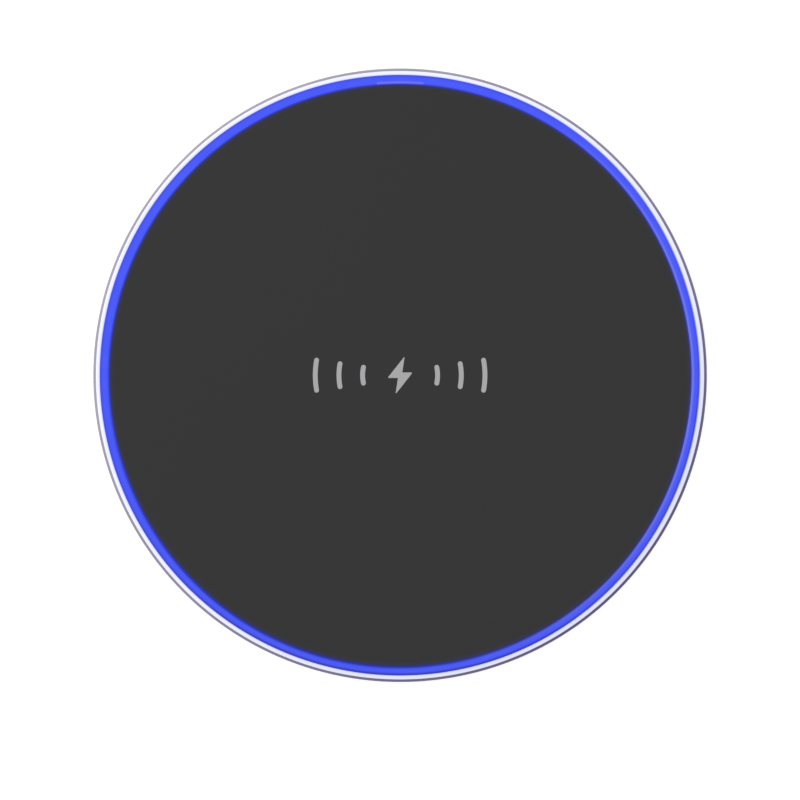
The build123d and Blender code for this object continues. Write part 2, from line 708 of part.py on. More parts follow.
# ---------------------------------------------------------------- solder joints
# on the board ends of the coil's and the thermistor's leads
with BuildPart() as solder_joints:
    with BuildSketch(Plane.XY.offset(BOARD_Z1)):
        with Locations((COIL_IN_X, -28.2), (COIL_OUT_X, 19.2)):
            Ellipse(1.15, 1.7)
    extrude(amount=1.35, taper=20)
    with BuildSketch(Plane.XY.offset(BOARD_Z1)):
        with Locations((-0.42, 28.6), (0.42, 28.6)):
            Ellipse(0.32, 0.7)
    extrude(amount=0.42, taper=15)
    add(transmitter_coil.part, mode=Mode.SUBTRACT)
    add(thermistor_leads.part, mode=Mode.SUBTRACT)

# ---------------------------------------------------------------- write every piece
pieces = {
    "rim_frame": rim_frame,
    "base_cover": base_cover,
    "foot_adhesive": foot_adhesive,
    "foot_ring": foot_ring,
    "case_screws": case_screws,
    "main_board": main_board,
    "usb_shell": usb_shell,
    "usb_contacts": usb_contacts,
    "usb_insulator": usb_insulator,
    "transmitter_coil": transmitter_coil,
    "coil_adhesive": coil_adhesive,
    "ferrite_shield": ferrite_shield,
    "ferrite_adhesive": ferrite_adhesive,
    "coil_foam_pad": coil_foam_pad,
    "thermistor_bead": thermistor_bead,
    "thermistor_leads": thermistor_leads,
    "light_ring": light_ring,
    "top_plate": top_plate,
    "disc_adhesive": disc_adhesive,
    "charging_mark": charging_mark,
    "charging_disc": charging_disc,
    "controller_chip": controller_chip,
    "controller_pads": controller_pads,
    "driver_chips": driver_chips,
    "driver_leads": driver_leads,
    "regulator_chip": regulator_chip,
    "regulator_leads": regulator_leads,
    "capacitor_bodies": capacitor_bodies,
    "capacitor_terminals": capacitor_terminals,
    "resistor_bodies": resistor_bodies,
    "resistor_terminals": resistor_terminals,
    "led_packages": led_packages,
    "led_lenses": led_lenses,
    "led_terminals": led_terminals,
    "solder_joints": solder_joints,
}
for name, piece in pieces.items():
    piece.part.label = name
    export_step(piece.part, f"parts/{name}.step")
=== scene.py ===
"""Round wireless charging pad with a glowing ring round its disc.

The pad lies flat, its axis on Z and its foot on z = 0. The Micro-USB socket faces +Y.
Meshes are built in millimetres and scaled to metres by finish_piece.
"""

import math
from functools import cached_property

import bmesh
import bpy
from mathutils import Matrix, Vector


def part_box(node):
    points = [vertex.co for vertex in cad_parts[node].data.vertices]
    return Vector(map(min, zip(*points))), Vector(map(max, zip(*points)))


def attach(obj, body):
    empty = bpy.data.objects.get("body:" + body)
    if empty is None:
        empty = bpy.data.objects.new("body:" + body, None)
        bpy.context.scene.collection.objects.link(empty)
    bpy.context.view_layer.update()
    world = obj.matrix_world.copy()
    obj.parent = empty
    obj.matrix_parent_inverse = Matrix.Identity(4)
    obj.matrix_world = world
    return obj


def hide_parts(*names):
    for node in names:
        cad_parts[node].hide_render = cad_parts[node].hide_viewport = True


MM = 0.001
TAU = 2 * math.pi

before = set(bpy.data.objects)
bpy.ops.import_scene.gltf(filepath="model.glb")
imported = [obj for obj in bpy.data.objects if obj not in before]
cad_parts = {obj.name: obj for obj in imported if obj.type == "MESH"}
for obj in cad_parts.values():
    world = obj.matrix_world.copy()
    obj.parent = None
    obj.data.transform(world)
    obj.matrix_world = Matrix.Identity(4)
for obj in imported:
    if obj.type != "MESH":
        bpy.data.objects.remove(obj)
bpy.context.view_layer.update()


def box_mm(node):
    """Low and high corners of a CAD node's box, in millimetres."""
    return [[c / MM for c in corner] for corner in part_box(node)]


# ==================================================== sizes taken from the frame (mm)
rim_lo, rim_hi = box_mm("rim_frame")
ring_lo, ring_hi = box_mm("light_ring")
disc_lo, disc_hi = box_mm("charging_disc")
base_lo, _ = box_mm("base_cover")
_, foot_hi = box_mm("foot_ring")
mark_lo, mark_hi = box_mm("charging_mark")
shell_lo, shell_hi = box_mm("usb_shell")
coil_lo, coil_hi = box_mm("transmitter_coil")
screw_lo, screw_hi = box_mm("case_screws")

PAD_RADIUS = rim_hi[0]
RIM_BOTTOM, RIM_TOP = rim_lo[2], rim_hi[2]
BEVEL = 0.50  # leg of the rim's top bevel, the same in radius and height
BEVEL_FOOT = RIM_TOP - BEVEL

RING_OUTER = ring_hi[0]
RING_INNER = RING_OUTER - 1.30
RING_BOTTOM, RING_TOP = ring_lo[2], ring_hi[2]
LAND_INNER = RING_OUTER + 0.05
LAND_OUTER = PAD_RADIUS - BEVEL

DISC_RADIUS, DISC_BOTTOM, DISC_TOP = disc_hi[0], disc_lo[2], disc_hi[2]
MARK_FLOOR = mark_lo[2]

BASE_BOTTOM = base_lo[2]
BASE_FLOOR = BASE_BOTTOM + 1.0  # inside face of the base cover
UNION_OVERLAP = 0.2  # how far the bosses and ribs sink into the floor

SOCKET_WIDTH, SOCKET_HEIGHT = 7.5, 2.45
SOCKET_BACK, SOCKET_MOUTH = shell_lo[1], shell_hi[1]
SOCKET_TOP = shell_hi[2]
SOCKET_BOTTOM = SOCKET_TOP - SOCKET_HEIGHT


# ==================================================== outlines
def polar(x, y, radius, degrees):
    angle = math.radians(degrees)
    return x + radius * math.cos(angle), y + radius * math.sin(angle)


def arc_points(x, y, radius, start, end, steps):
    """Points of an arc about (x, y), its angles in degrees, both ends included."""
    return [polar(x, y, radius, start + (end - start) * k / steps) for k in range(steps + 1)]


def circle(x, y, radius, sides=40):
    return [
        (x + radius * math.cos(TAU * k / sides), y + radius * math.sin(TAU * k / sides))
        for k in range(sides)
    ]


def rounded(corners):
    """Corners (x, y, radius) of a closed polygon turned into points, each radius as an arc."""
    points = []
    for i, (x, y, radius) in enumerate(corners):
        if radius <= 0:
            points.append((x, y))
            continue
        corner = Vector((x, y))
        before = Vector(corners[i - 1][:2]) - corner
        after = Vector(corners[(i + 1) % len(corners)][:2]) - corner
        before.normalize()
        after.normalize()
        half_angle = before.angle(after) / 2
        cut = radius / math.tan(half_angle)
        centre = corner + (before + after).normalized() * (radius / math.sin(half_angle))
        start = corner + before * cut - centre
        end = corner + after * cut - centre
        first = math.atan2(start.y, start.x)
        sweep = math.atan2(start.x * end.y - start.y * end.x, start.dot(end))
        steps = max(3, int(abs(sweep) / math.radians(12)))
        for k in range(steps + 1):
            angle = first + sweep * k / steps
            points.append((centre.x + radius * math.cos(angle), centre.y + radius * math.sin(angle)))
    return points


def rectangle(x_span, y_span, radius=0.0):
    (x0, x1), (y0, y1) = x_span, y_span
    return rounded([(x0, y0, radius), (x1, y0, radius), (x1, y1, radius), (x0, y1, radius)])


# ==================================================== meshes
def mesh_object(name, verts, faces, slots=None):
    mesh = bpy.data.meshes.new(name)
    mesh.from_pydata([tuple(v) for v in verts], [], faces)
    if slots is not None:
        for polygon, slot in zip(mesh.polygons, slots):
            polygon.material_index = slot
    mesh.update()
    ob = bpy.data.objects.new(name, mesh)
    bpy.context.scene.collection.objects.link(ob)
    return ob


def fix_normals(ob):
    bm = bmesh.new()
    bm.from_mesh(ob.data)
    bmesh.ops.recalc_face_normals(bm, faces=bm.faces)
    bm.to_mesh(ob.data)
    bm.free()


def lathe(name, profile, segments, slot_of=None):
    """Turns a closed (radius, z) profile about Z. Points on the axis become one vertex each.

    slot_of gives the material slot of the band between two profile points.
    """
    verts, rows = [], []
    for radius, z in profile:
        if radius < 1e-6:
            rows.append([len(verts)] * segments)
            verts.append((0, 0, z))
            continue
        rows.append(range(len(verts), len(verts) + segments))
        verts += [
            (radius * math.cos(TAU * i / segments), radius * math.sin(TAU * i / segments), z)
            for i in range(segments)
        ]
    faces, slots = [], []
    for j, start in enumerate(profile):
        k = (j + 1) % len(profile)
        end = profile[k]
        if start[0] < 1e-6 and end[0] < 1e-6:
            continue
        slot = slot_of(start, end) if slot_of else 0
        for i in range(segments):
            m = (i + 1) % segments
            # dict.fromkeys drops the repeated vertex of a triangle on the axis
            faces.append(list(dict.fromkeys((rows[j][i], rows[k][i], rows[k][m], rows[j][m]))))
            slots.append(slot)
    ob = mesh_object(name, verts, faces, slots)
    fix_normals(ob)
    return ob


def loft(name, rings, wrap=False):
    """Joins successive rings of points. wrap joins last to first; otherwise the ends are capped."""
    n, count = len(rings[0]), len(rings)
    verts = [point for ring in rings for point in ring]
    faces = []
    for j in range(count if wrap else count - 1):
        k = (j + 1) % count
        for i in range(n):
            m = (i + 1) % n
            faces.append([j * n + i, j * n + m, k * n + m, k * n + i])
    if not wrap:
        faces.append(list(range(n)))
        faces.append(list(range((count - 1) * n, count * n)))
    ob = mesh_object(name, verts, faces)
    fix_normals(ob)
    return ob


def prism(name, outline, z0, z1):
    return loft(name, [[(x, y, z) for x, y in outline] for z in (z0, z1)])


def slab(name, x_span, y_span, z_span, radius=0.0):
    return prism(name, rectangle(x_span, y_span, radius), *z_span)


def joined(name, parts):
    """One object from several, each mesh kept as its own shell."""
    verts, faces, slots = [], [], []
    for part in parts:
        start = len(verts)
        verts += [tuple(v.co) for v in part.data.vertices]
        faces += [[start + i for i in p.vertices] for p in part.data.polygons]
        slots += [p.material_index for p in part.data.polygons]
        bpy.data.objects.remove(part)
    return mesh_object(name, verts, faces, slots)


def boolean(ob, tool, operation="DIFFERENCE"):
    modifier = ob.modifiers.new("cut", "BOOLEAN")
    modifier.object = tool
    modifier.operation = operation
    modifier.solver = "EXACT"
    bpy.context.view_layer.update()
    depsgraph = bpy.context.evaluated_depsgraph_get()
    mesh = bpy.data.meshes.new_from_object(ob.evaluated_get(depsgraph))
    ob.modifiers.clear()
    ob.data = mesh
    bpy.data.objects.remove(tool)


def finish_piece(ob, node, materials, angle, weighted=True):
    """Scales to metres, shades smooth with edges over angle kept sharp, replaces the CAD node."""
    mesh = ob.data
    mesh.transform(Matrix.Scale(MM, 4))
    slots = [p.material_index for p in mesh.polygons]
    mesh.materials.clear()
    for material in materials:
        mesh.materials.append(material)
    mesh.polygons.foreach_set("material_index", slots)
    mesh.polygons.foreach_set("use_smooth", [True] * len(mesh.polygons))
    mesh.set_sharp_from_angle(angle=math.radians(angle))
    if weighted:
        modifier = ob.modifiers.new("normals", "WEIGHTED_NORMAL")
        modifier.mode = "FACE_AREA"
        modifier.weight = 80
        modifier.keep_sharp = True
    mesh.update()
    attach(ob, "root")
    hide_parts(node)


# ==================================================== node trees
def srgb(*rgb):
    """sRGB 0-255 to linear."""
    return [c / 12.92 if c <= 0.04045 else ((c + 0.055) / 1.055) ** 2.4 for c in (v / 255.0 for v in rgb)]


def scaled(colour, factor):
    return [c * factor for c in colour]


class Nodes:
    """Short ways to write a node tree. Most methods return the new node's output socket."""

    def __init__(self, owner, output="OutputMaterial", coord_output="Object"):
        owner.use_nodes = True
        self.owner = owner
        self.tree = owner.node_tree
        self.tree.nodes.clear()
        self.output = self.node(output)
        self.coord_output = coord_output

    @cached_property
    def coord(self):
        return self.node("TexCoord").outputs[self.coord_output]

    def put(self, socket, value):
        """Links a socket, or sets a value; colours get an alpha of 1."""
        if isinstance(value, bpy.types.NodeSocket):
            self.tree.links.new(value, socket)
            return
        if hasattr(socket.default_value, "__len__"):
            value = (list(value) + [1.0])[: len(socket.default_value)]
        socket.default_value = value

    def node(self, kind, inputs=None, **settings):
        node = self.tree.nodes.new("ShaderNode" + kind)
        for key, value in settings.items():
            setattr(node, key, value)
        for key, value in (inputs or {}).items():
            self.put(node.inputs[key], value)
        return node

    def math(self, operation, *values):
        return self.node("Math", dict(enumerate(values)), operation=operation).outputs[0]

    def times(self, a, b):
        return self.math("MULTIPLY", a, b)

    def plus(self, a, b):
        return self.math("ADD", a, b)

    def vmath(self, operation, *vectors, out=0):
        return self.node("VectorMath", dict(enumerate(vectors)), operation=operation).outputs[out]

    def ramp(self, value, span=(0.3, 0.7), to=(0.0, 1.0), smooth=True):
        """Maps span onto to, clamped. The default span is the useful range of a noise."""
        inputs = {
            "Value": value,
            "From Min": span[0],
            "From Max": span[1],
            "To Min": to[0],
            "To Max": to[1],
        }
        kind = "SMOOTHSTEP" if smooth else "LINEAR"
        return self.node("MapRange", inputs, interpolation_type=kind, clamp=True).outputs["Result"]

    def mix(self, factor, a, b):
        """Colour a where factor is 0, b where it is 1."""
        return self.node("Mix", {0: factor, 6: a, 7: b}, data_type="RGBA").outputs[2]

    def noise(self, mm, detail=2.0, rough=0.5, vector=None):
        inputs = {
            "Vector": self.coord if vector is None else vector,
            "Scale": 1.0 / (mm * MM),
            "Detail": detail,
            "Roughness": rough,
        }
        return self.node("TexNoise", inputs).outputs["Fac"]

    def lines(self, position, density, detail):
        """Noise that changes along one coordinate only; density is cycles per unit of it."""
        inputs = {"W": self.times(position, density), "Scale": 1.0, "Detail": detail}
        return self.node("TexNoise", inputs, noise_dimensions="1D").outputs["Fac"]

    def voronoi(self, mm, metric="EUCLIDEAN", output="Distance", randomness=1.0):
        inputs = {"Vector": self.coord, "Scale": 1.0 / (mm * MM), "Randomness": randomness}
        return self.node("TexVoronoi", inputs, distance=metric).outputs[output]

    def xyz(self, vector=None):
        return self.node("SeparateXYZ", {0: self.coord if vector is None else vector}).outputs

    def combine(self, x, y, z):
        return self.node("CombineXYZ", {0: x, 1: y, 2: z}).outputs[0]

    def heading(self, x, y):
        return self.vmath("NORMALIZE", self.combine(x, y, 0.0))

    def radius(self):
        """Distance from the Z axis, in millimetres."""
        x, y, _ = self.xyz()
        return self.times(self.vmath("LENGTH", self.combine(x, y, 0.0), out="Value"), 1000.0)

    def toward_deg(self, degrees):
        """Cosine of the angle between a point's heading from Z and one given from +X to +Y."""
        x, y, _ = self.xyz()
        direction = (*polar(0.0, 0.0, 1.0, degrees), 0.0)
        return self.vmath("DOT_PRODUCT", self.heading(x, y), direction, out="Value")

    def bump(self, height, depth_mm):
        return self.node("Bump", {"Height": height, "Distance": depth_mm * MM}).outputs[0]

    def surface(self, socket):
        self.put(self.output.inputs["Surface"], socket)

    def shader(self, **inputs):
        """Principled shader on the output; underscores in input names stand for spaces."""
        inputs = {key.replace("_", " "): value for key, value in inputs.items()}
        self.surface(self.node("BsdfPrincipled", inputs).outputs[0])
        return self.owner


def new_material(name):
    return Nodes(bpy.data.materials.new(name))


# ==================================================== general materials
def plastic(name, colour, rough=0.5, grain_mm=0.12, depth_mm=0.01, spec=0.4, spread=0.12):
    """Moulded plastic: fine grain in height, colour and roughness, and slow drift in tone.

    spread is how far the grain darkens and lightens the colour.
    """
    mat = new_material(name)
    grain = mat.noise(mm=grain_mm, detail=3, rough=0.6)
    drift = mat.noise(mm=14.0)
    tone = mat.mix(mat.ramp(grain), scaled(colour, 1 - spread), scaled(colour, 1 + spread))
    tone = mat.mix(mat.ramp(drift, to=(0.0, 0.35)), tone, scaled(colour, 1.12))
    return mat.shader(
        Base_Color=tone,
        Roughness=mat.ramp(grain, span=(0.25, 0.75), to=(rough - 0.06, rough + 0.06)),
        Specular_IOR_Level=spec,
        Normal=mat.bump(grain, depth_mm),
    )


def metal(name, colour, rough=0.25, brush_mm=None, stretch=12.0, depth_mm=0.003, tarnish=None):
    """Metal with a fine grain, or one brushed along Y, and small changes of tone."""
    spread = 0.06
    mat = new_material(name)
    brushed = mat.vmath("MULTIPLY", mat.coord, (1.0, 1.0 / stretch, 1.0)) if brush_mm else None
    grain = mat.noise(mm=brush_mm or 0.08, detail=3, rough=0.6, vector=brushed)
    drift = mat.noise(mm=2.5, detail=3, rough=0.6)
    light = [min(1.0, c) for c in scaled(colour, 1 + spread)]
    tone = mat.mix(mat.ramp(grain), scaled(colour, 1 - spread), light)
    if tarnish:
        tone = mat.mix(mat.ramp(drift, span=(0.5, 0.75), to=(0.0, 0.6)), tone, tarnish)
    return mat.shader(
        Base_Color=tone,
        Metallic=1.0,
        Roughness=mat.ramp(drift, to=(rough - 0.05, rough + 0.07)),
        Normal=mat.bump(grain, depth_mm),
    )


# ==================================================== rim
TURNING_PER_MM = 18.0  # density of the rim's concentric turning marks


def land_material():
    """Flat top of the rim, turned in fine concentric lines."""
    mat = new_material("rim_turned_land")
    radius = mat.radius()
    turning = mat.lines(radius, density=TURNING_PER_MM, detail=2)
    drift = mat.noise(mm=9.0)
    # turning lines in a blue-tinted metal; the blue tint is a painted reflection of the light ring's glow
    base = mat.mix(mat.ramp(turning), (0.80, 0.81, 0.92), (0.85, 0.86, 0.96))
    # painted shade: a darker copy of the land, mixed in towards the +X -Y side
    shaded_land = mat.mix(mat.ramp(turning), (0.74, 0.75, 0.89), (0.78, 0.79, 0.93))
    base = mat.mix(mat.ramp(mat.toward_deg(305), span=(0.2, 0.85)), base, shaded_land)
    # painted reflection of the light ring's blue glow beside it, least on the +X side
    ring_glow_reflection = mat.times(
        mat.ramp(radius, span=(LAND_INNER, LAND_INNER + 0.26), to=(1.0, 0.0)),
        mat.ramp(mat.toward_deg(2), span=(0.3, 0.9), to=(0.8, 0.2)),
    )
    base = mat.mix(ring_glow_reflection, base, (0.42, 0.47, 0.94))
    # painted shade where the outer corner turns down, cooler on the +X side
    corner = mat.times(
        mat.ramp(radius, span=(LAND_OUTER - 0.10, LAND_OUTER - 0.03)),
        mat.ramp(mat.toward_deg(335), span=(0.45, 0.9)),
    )
    base = mat.mix(corner, base, (0.48, 0.46, 0.86))
    # painted glow, as emission: spill of the light ring over the land's inner edge
    spill = mat.ramp(radius, span=(RING_OUTER + 0.02, RING_OUTER + 0.45), to=(1.0, 0.0))
    return mat.shader(
        Base_Color=base,
        Metallic=1.0,
        Roughness=mat.ramp(drift, to=(0.26, 0.32)),
        Anisotropic=0.4,
        Normal=mat.bump(turning, depth_mm=0.0015),
        Emission_Color=srgb(90, 100, 250),
        Emission_Strength=mat.times(spill, 0.06),
    )


def bevel_material():
    """Polished bevel with painted light and shade: paler on the lit side, cooler and darker towards +X
    -Y.
    """
    mat = new_material("rim_polished_bevel")
    turning = mat.lines(mat.radius(), density=TURNING_PER_MM, detail=2)
    drift = mat.noise(mm=9.0)
    # painted light and shade: a lit tone for the -X +Y side, a cooler shaded tone towards +X -Y
    bevel_lit_tone = mat.mix(mat.ramp(drift), (0.70, 0.685, 0.83), (0.76, 0.745, 0.89))
    bevel_shaded_tone = mat.mix(mat.ramp(drift), (0.67, 0.63, 0.96), (0.73, 0.69, 1.0))
    return mat.shader(
        Base_Color=mat.mix(mat.ramp(mat.toward_deg(315), span=(-0.6, 0.8)), bevel_lit_tone, bevel_shaded_tone),
        Metallic=1.0,
        Roughness=mat.ramp(turning, to=(0.14, 0.20)),
        Normal=mat.bump(mat.noise(mm=0.2), depth_mm=0.001),
    )


def side_material():
    """Satin side: fine grain with faint lines running round the rim."""
    mat = new_material("rim_satin_side")
    _, _, z = mat.xyz()
    drift = mat.noise(mm=9.0)
    grain = mat.noise(mm=0.07, detail=3, rough=0.65)
    lines = mat.lines(z, density=14000.0, detail=3)
    base = mat.mix(mat.ramp(grain), (0.72, 0.72, 0.725), (0.80, 0.80, 0.805))
    base = mat.mix(mat.ramp(lines, to=(0.0, 0.35)), base, (0.86, 0.86, 0.865))
    return mat.shader(
        Base_Color=base,
        Metallic=1.0,
        Roughness=mat.ramp(drift, to=(0.27, 0.34)),
        Anisotropic=0.3,
        Normal=mat.bump(mat.plus(grain, mat.times(lines, 0.8)), depth_mm=0.004),
    )


LAND_SLOT, BEVEL_SLOT, SIDE_SLOT = 0, 1, 2


def rim_slot(start, end):
    """Material slot of the rim's band between two (radius, z) profile points."""
    radius, z = (start[0] + end[0]) / 2, (start[1] + end[1]) / 2
    if z > RIM_TOP - 0.03 and radius < LAND_OUTER + 0.02:
        return LAND_SLOT
    if z > BEVEL_FOOT - 0.015 and radius > LAND_OUTER:
        return BEVEL_SLOT
    if radius < LAND_INNER + 0.03 and z > RING_BOTTOM:
        return LAND_SLOT
    return SIDE_SLOT


def rim_profile():
    # the side curls under in one arc, from (PAD_RADIUS, UNDER_TOP) to UNDER_END
    UNDER_RADIUS, UNDER_TOP = 2.8926, 3.40
    UNDER_END = (48.78, 1.04)
    centre = PAD_RADIUS - UNDER_RADIUS
    end = math.degrees(math.atan2(UNDER_END[1] - UNDER_TOP, UNDER_END[0] - centre))
    under = arc_points(centre, UNDER_TOP, UNDER_RADIUS, 0, end, steps=16)
    INNER_WALL, RECESS_WALL, RECESS_TOP = 47.90, 48.25, 1.80
    # radius, z, rounding
    return rounded(
        [
            (LAND_INNER, RING_BOTTOM, 0),
            (LAND_INNER, RIM_TOP, 0.05),
            (LAND_OUTER, RIM_TOP, 0.04),
            (PAD_RADIUS, BEVEL_FOOT, 0.06),
            *((radius, z, 0) for radius, z in under),
            (48.60, RIM_BOTTOM, 0),
            (48.33, RIM_BOTTOM, 0),
            (RECESS_WALL, RIM_BOTTOM + 0.08, 0),
            (RECESS_WALL, RECESS_TOP, 0),
            (INNER_WALL, RECESS_TOP, 0),
            (INNER_WALL, RING_BOTTOM, 0),
        ]
    )


def window_ring(grow, depth):
    """Outline of the socket's window, grown and sunk into the round side."""
    half_width, half_height, corner = 8.1 / 2 + grow, 2.75 / 2 + grow, 1.1 + grow
    middle = (SOCKET_TOP + SOCKET_BOTTOM) / 2
    outline = rectangle((-half_width, half_width), (-half_height, half_height), corner)
    return [(x, math.sqrt(PAD_RADIUS**2 - x * x) - depth, middle + z) for x, z in outline]


def build_rim():
    rim = lathe("rim_frame_metal", rim_profile(), 720, rim_slot)
    # grow, depth: a countersunk edge, then the straight window
    stations = [(0.83, -0.6), (0.23, 0.0), (0.0, 0.23), (0.0, 3.4)]
    boolean(rim, loft("window", [window_ring(grow, depth) for grow, depth in stations]))
    # notch in the inner wall opposite the socket
    boolean(rim, slab("notch", (-1.55, 1.55), (-48.22, -46.2), (1.8, RING_BOTTOM)))
    # the window's own walls take the side's finish
    for polygon in rim.data.polygons:
        x, y, z = polygon.center
        if y > 45 and abs(x) < 5 and z < BEVEL_FOOT:
            polygon.material_index = SIDE_SLOT
    materials = [land_material(), bevel_material(), side_material()]
    finish_piece(rim, "rim_frame", materials, angle=28)


# ==================================================== light ring
def glow_material():
    mat = new_material("light_ring_glow")
    radius = mat.radius()
    x, y, _ = mat.xyz()
    across = mat.ramp(radius, span=(RING_INNER, RING_OUTER), smooth=False)
    glow = mat.mix(mat.ramp(mat.noise(mm=3.0)), srgb(64, 82, 243), srgb(67, 85, 245))
    # painted highlight: paler band along the inside, on the +X side
    inner = mat.ramp(across, span=(0.05, 0.45), to=(1.0, 0.0))
    lit = mat.ramp(mat.toward_deg(-12), span=(0.2, 0.95))
    glow = mat.mix(mat.times(inner, mat.times(lit, 0.9)), glow, srgb(112, 118, 232))
    # painted shade: deeper inside edge on the -Y side
    edge = mat.ramp(across, span=(0.04, 0.36), to=(1.0, 0.0))
    shade = mat.ramp(mat.toward_deg(258), span=(0.0, 1.0), to=(0.0, 0.86), smooth=False)
    glow = mat.mix(mat.times(edge, mat.times(shade, 0.9)), glow, srgb(30, 38, 150))
    # painted shade: deeper outside band, most of all on the -Y side
    outer = mat.ramp(across, span=(0.62, 0.90))
    outer_shade_side = mat.ramp(mat.toward_deg(-70), span=(-0.3, 0.9))
    outer_band_shade = mat.mix(outer_shade_side, srgb(54, 60, 214), srgb(52, 58, 172))
    glow = mat.mix(mat.times(outer, mat.math("MULTIPLY_ADD", outer_shade_side, 0.6, 0.4)), glow, outer_band_shade)
    # painted glint, a highlight on the outer edge, on the +X side
    glint = mat.times(
        mat.ramp(across, span=(0.91, 1.0)),
        mat.ramp(mat.toward_deg(2), span=(0.4, 0.9)),
    )
    glow = mat.mix(mat.times(glint, 0.8), glow, srgb(176, 178, 232))
    # painted light: paler stretch of glow over the socket's shell; x is taken in mm, y in metres
    side = mat.math("ABSOLUTE", mat.times(x, 1000.0))
    shell_glow_patch = mat.times(
        mat.ramp(side, span=(3.55, 3.95), to=(1.0, 0.0)),
        mat.ramp(y, span=(0.02, 0.03)),
    )
    shell_glow_patch = mat.times(shell_glow_patch, mat.ramp(across, span=(0.10, 0.42), to=(1.0, 0.0)))
    glow = mat.mix(mat.times(shell_glow_patch, 0.74), glow, srgb(116, 116, 252))
    # painted shade in the gap: the wall that butts against the disc glows less, a dark line
    gap_shade = mat.ramp(radius, span=(RING_INNER + 0.002, RING_INNER + 0.05), to=(1.0, 0.0))
    glow = mat.mix(mat.times(gap_shade, 0.3), glow, srgb(30, 34, 96))
    frost = mat.noise(mm=0.09, rough=0.6)
    return mat.shader(
        Base_Color=(0.01, 0.012, 0.05),
        Roughness=0.45,
        Specular_IOR_Level=0.12,
        Emission_Color=glow,
        Emission_Strength=mat.ramp(frost, span=(0.2, 0.8), to=(0.97, 1.0)),
        Normal=mat.bump(frost, depth_mm=0.002),
    )


def build_light_ring():
    FLANGE_INNER = 43.5
    FLANGE_TOP = RING_BOTTOM + 0.5
    EDGE_ROUNDING = 0.16
    BOTTOM_STEPS = 24  # fine enough for the wells over the LEDs
    LED_CIRCLE, WELL_RADIUS, WELL_DEPTH = 45.4, 1.35, 0.22
    width = RING_OUTER - FLANGE_INNER
    bottom = [
        (FLANGE_INNER + width * k / BOTTOM_STEPS, RING_BOTTOM) for k in range(BOTTOM_STEPS)
    ]
    # radius, z, rounding
    upper = rounded(
        [
            (RING_OUTER, RING_BOTTOM, 0),
            (RING_OUTER, RING_TOP, EDGE_ROUNDING),
            (RING_INNER, RING_TOP, EDGE_ROUNDING),
            (RING_INNER, FLANGE_TOP, 0),
            (FLANGE_INNER, FLANGE_TOP, 0),
        ]
    )
    ring = lathe("light_ring_diffuser", bottom + upper, 720)
    leds = [polar(0, 0, LED_CIRCLE, 22.5 + 45 * i) for i in range(8)]
    for vertex in ring.data.vertices:
        if abs(vertex.co.z - RING_BOTTOM) < 1e-4:
            distance = min(math.hypot(vertex.co.x - x, vertex.co.y - y) for x, y in leds)
            if distance < WELL_RADIUS:
                vertex.co.z += WELL_DEPTH * math.cos(distance / WELL_RADIUS * math.pi / 2)
    finish_piece(ring, "light_ring", [glow_material()], angle=30)


# ==================================================== charging disc and its mark
def disc_material():
    mat = new_material("disc_soft_touch")
    grain = mat.noise(mm=0.11, detail=3, rough=0.7)
    cells = mat.voronoi(mm=0.16)
    drift = mat.noise(mm=22.0)
    grain_ramp = mat.ramp(grain, span=(0.25, 0.75))
    base = mat.mix(grain_ramp, (0.0175, 0.0175, 0.0176), (0.0225, 0.0225, 0.0226))
    drift_ramp = mat.ramp(drift, span=(0.35, 0.65), to=(0.0, 0.3))
    base = mat.mix(drift_ramp, base, (0.0205, 0.0205, 0.0214))
    # painted glow, as emission: the ring's light caught on the rounded edge, and a faint haze of it
    # further in
    caught = mat.ramp(mat.radius(), span=(DISC_RADIUS - 0.34, DISC_RADIUS - 0.02))
    caught = mat.times(caught, mat.ramp(mat.toward_deg(275), span=(-0.2, 0.9), to=(0.52, 0.26)))
    ring_light_haze_span = (DISC_RADIUS - 0.85, DISC_RADIUS - 0.05)
    ring_light_haze = mat.ramp(mat.radius(), span=ring_light_haze_span, to=(0.0, 0.045), smooth=False)
    # painted shade: the base colour darkens over the rounded edge
    edge = mat.ramp(mat.radius(), span=(DISC_RADIUS - 0.40, DISC_RADIUS - 0.12))
    return mat.shader(
        Base_Color=mat.mix(edge, base, (0.009, 0.009, 0.012)),
        Emission_Color=srgb(52, 70, 246),
        Emission_Strength=mat.plus(caught, ring_light_haze),
        Roughness=mat.ramp(grain, span=(0.25, 0.75), to=(0.52, 0.60)),
        Specular_IOR_Level=0.26,
        Sheen_Weight=0.02,
        Sheen_Roughness=0.5,
        Normal=mat.bump(mat.plus(grain, mat.times(cells, 0.6)), depth_mm=0.0035),
    )


def ink_material():
    mat = new_material("printed_ink")
    grain = mat.noise(mm=0.09, detail=3, rough=0.7)
    grain_ramp = mat.ramp(grain, span=(0.25, 0.75))
    return mat.shader(
        Base_Color=mat.mix(grain_ramp, (0.355, 0.355, 0.360), (0.405, 0.405, 0.410)),
        Roughness=mat.ramp(grain, span=(0.2, 0.8), to=(0.45, 0.58)),
        Specular_IOR_Level=0.25,
        Normal=mat.bump(grain, depth_mm=0.003),
    )


def curved_slot(x, y, radius, start, end, width):
    """Outline of a stroke along an arc, with round ends."""
    half = width / 2
    outer = arc_points(x, y, radius + half, start, end, 14)
    end_cap = arc_points(*polar(x, y, radius, end), half, end, end + 180, 12)[1:-1]
    inner = arc_points(x, y, radius - half, end, start, 14)
    start_cap = arc_points(*polar(x, y, radius, start), half, start + 180, start + 360, 12)[1:-1]
    return outer + end_cap + inner + start_cap


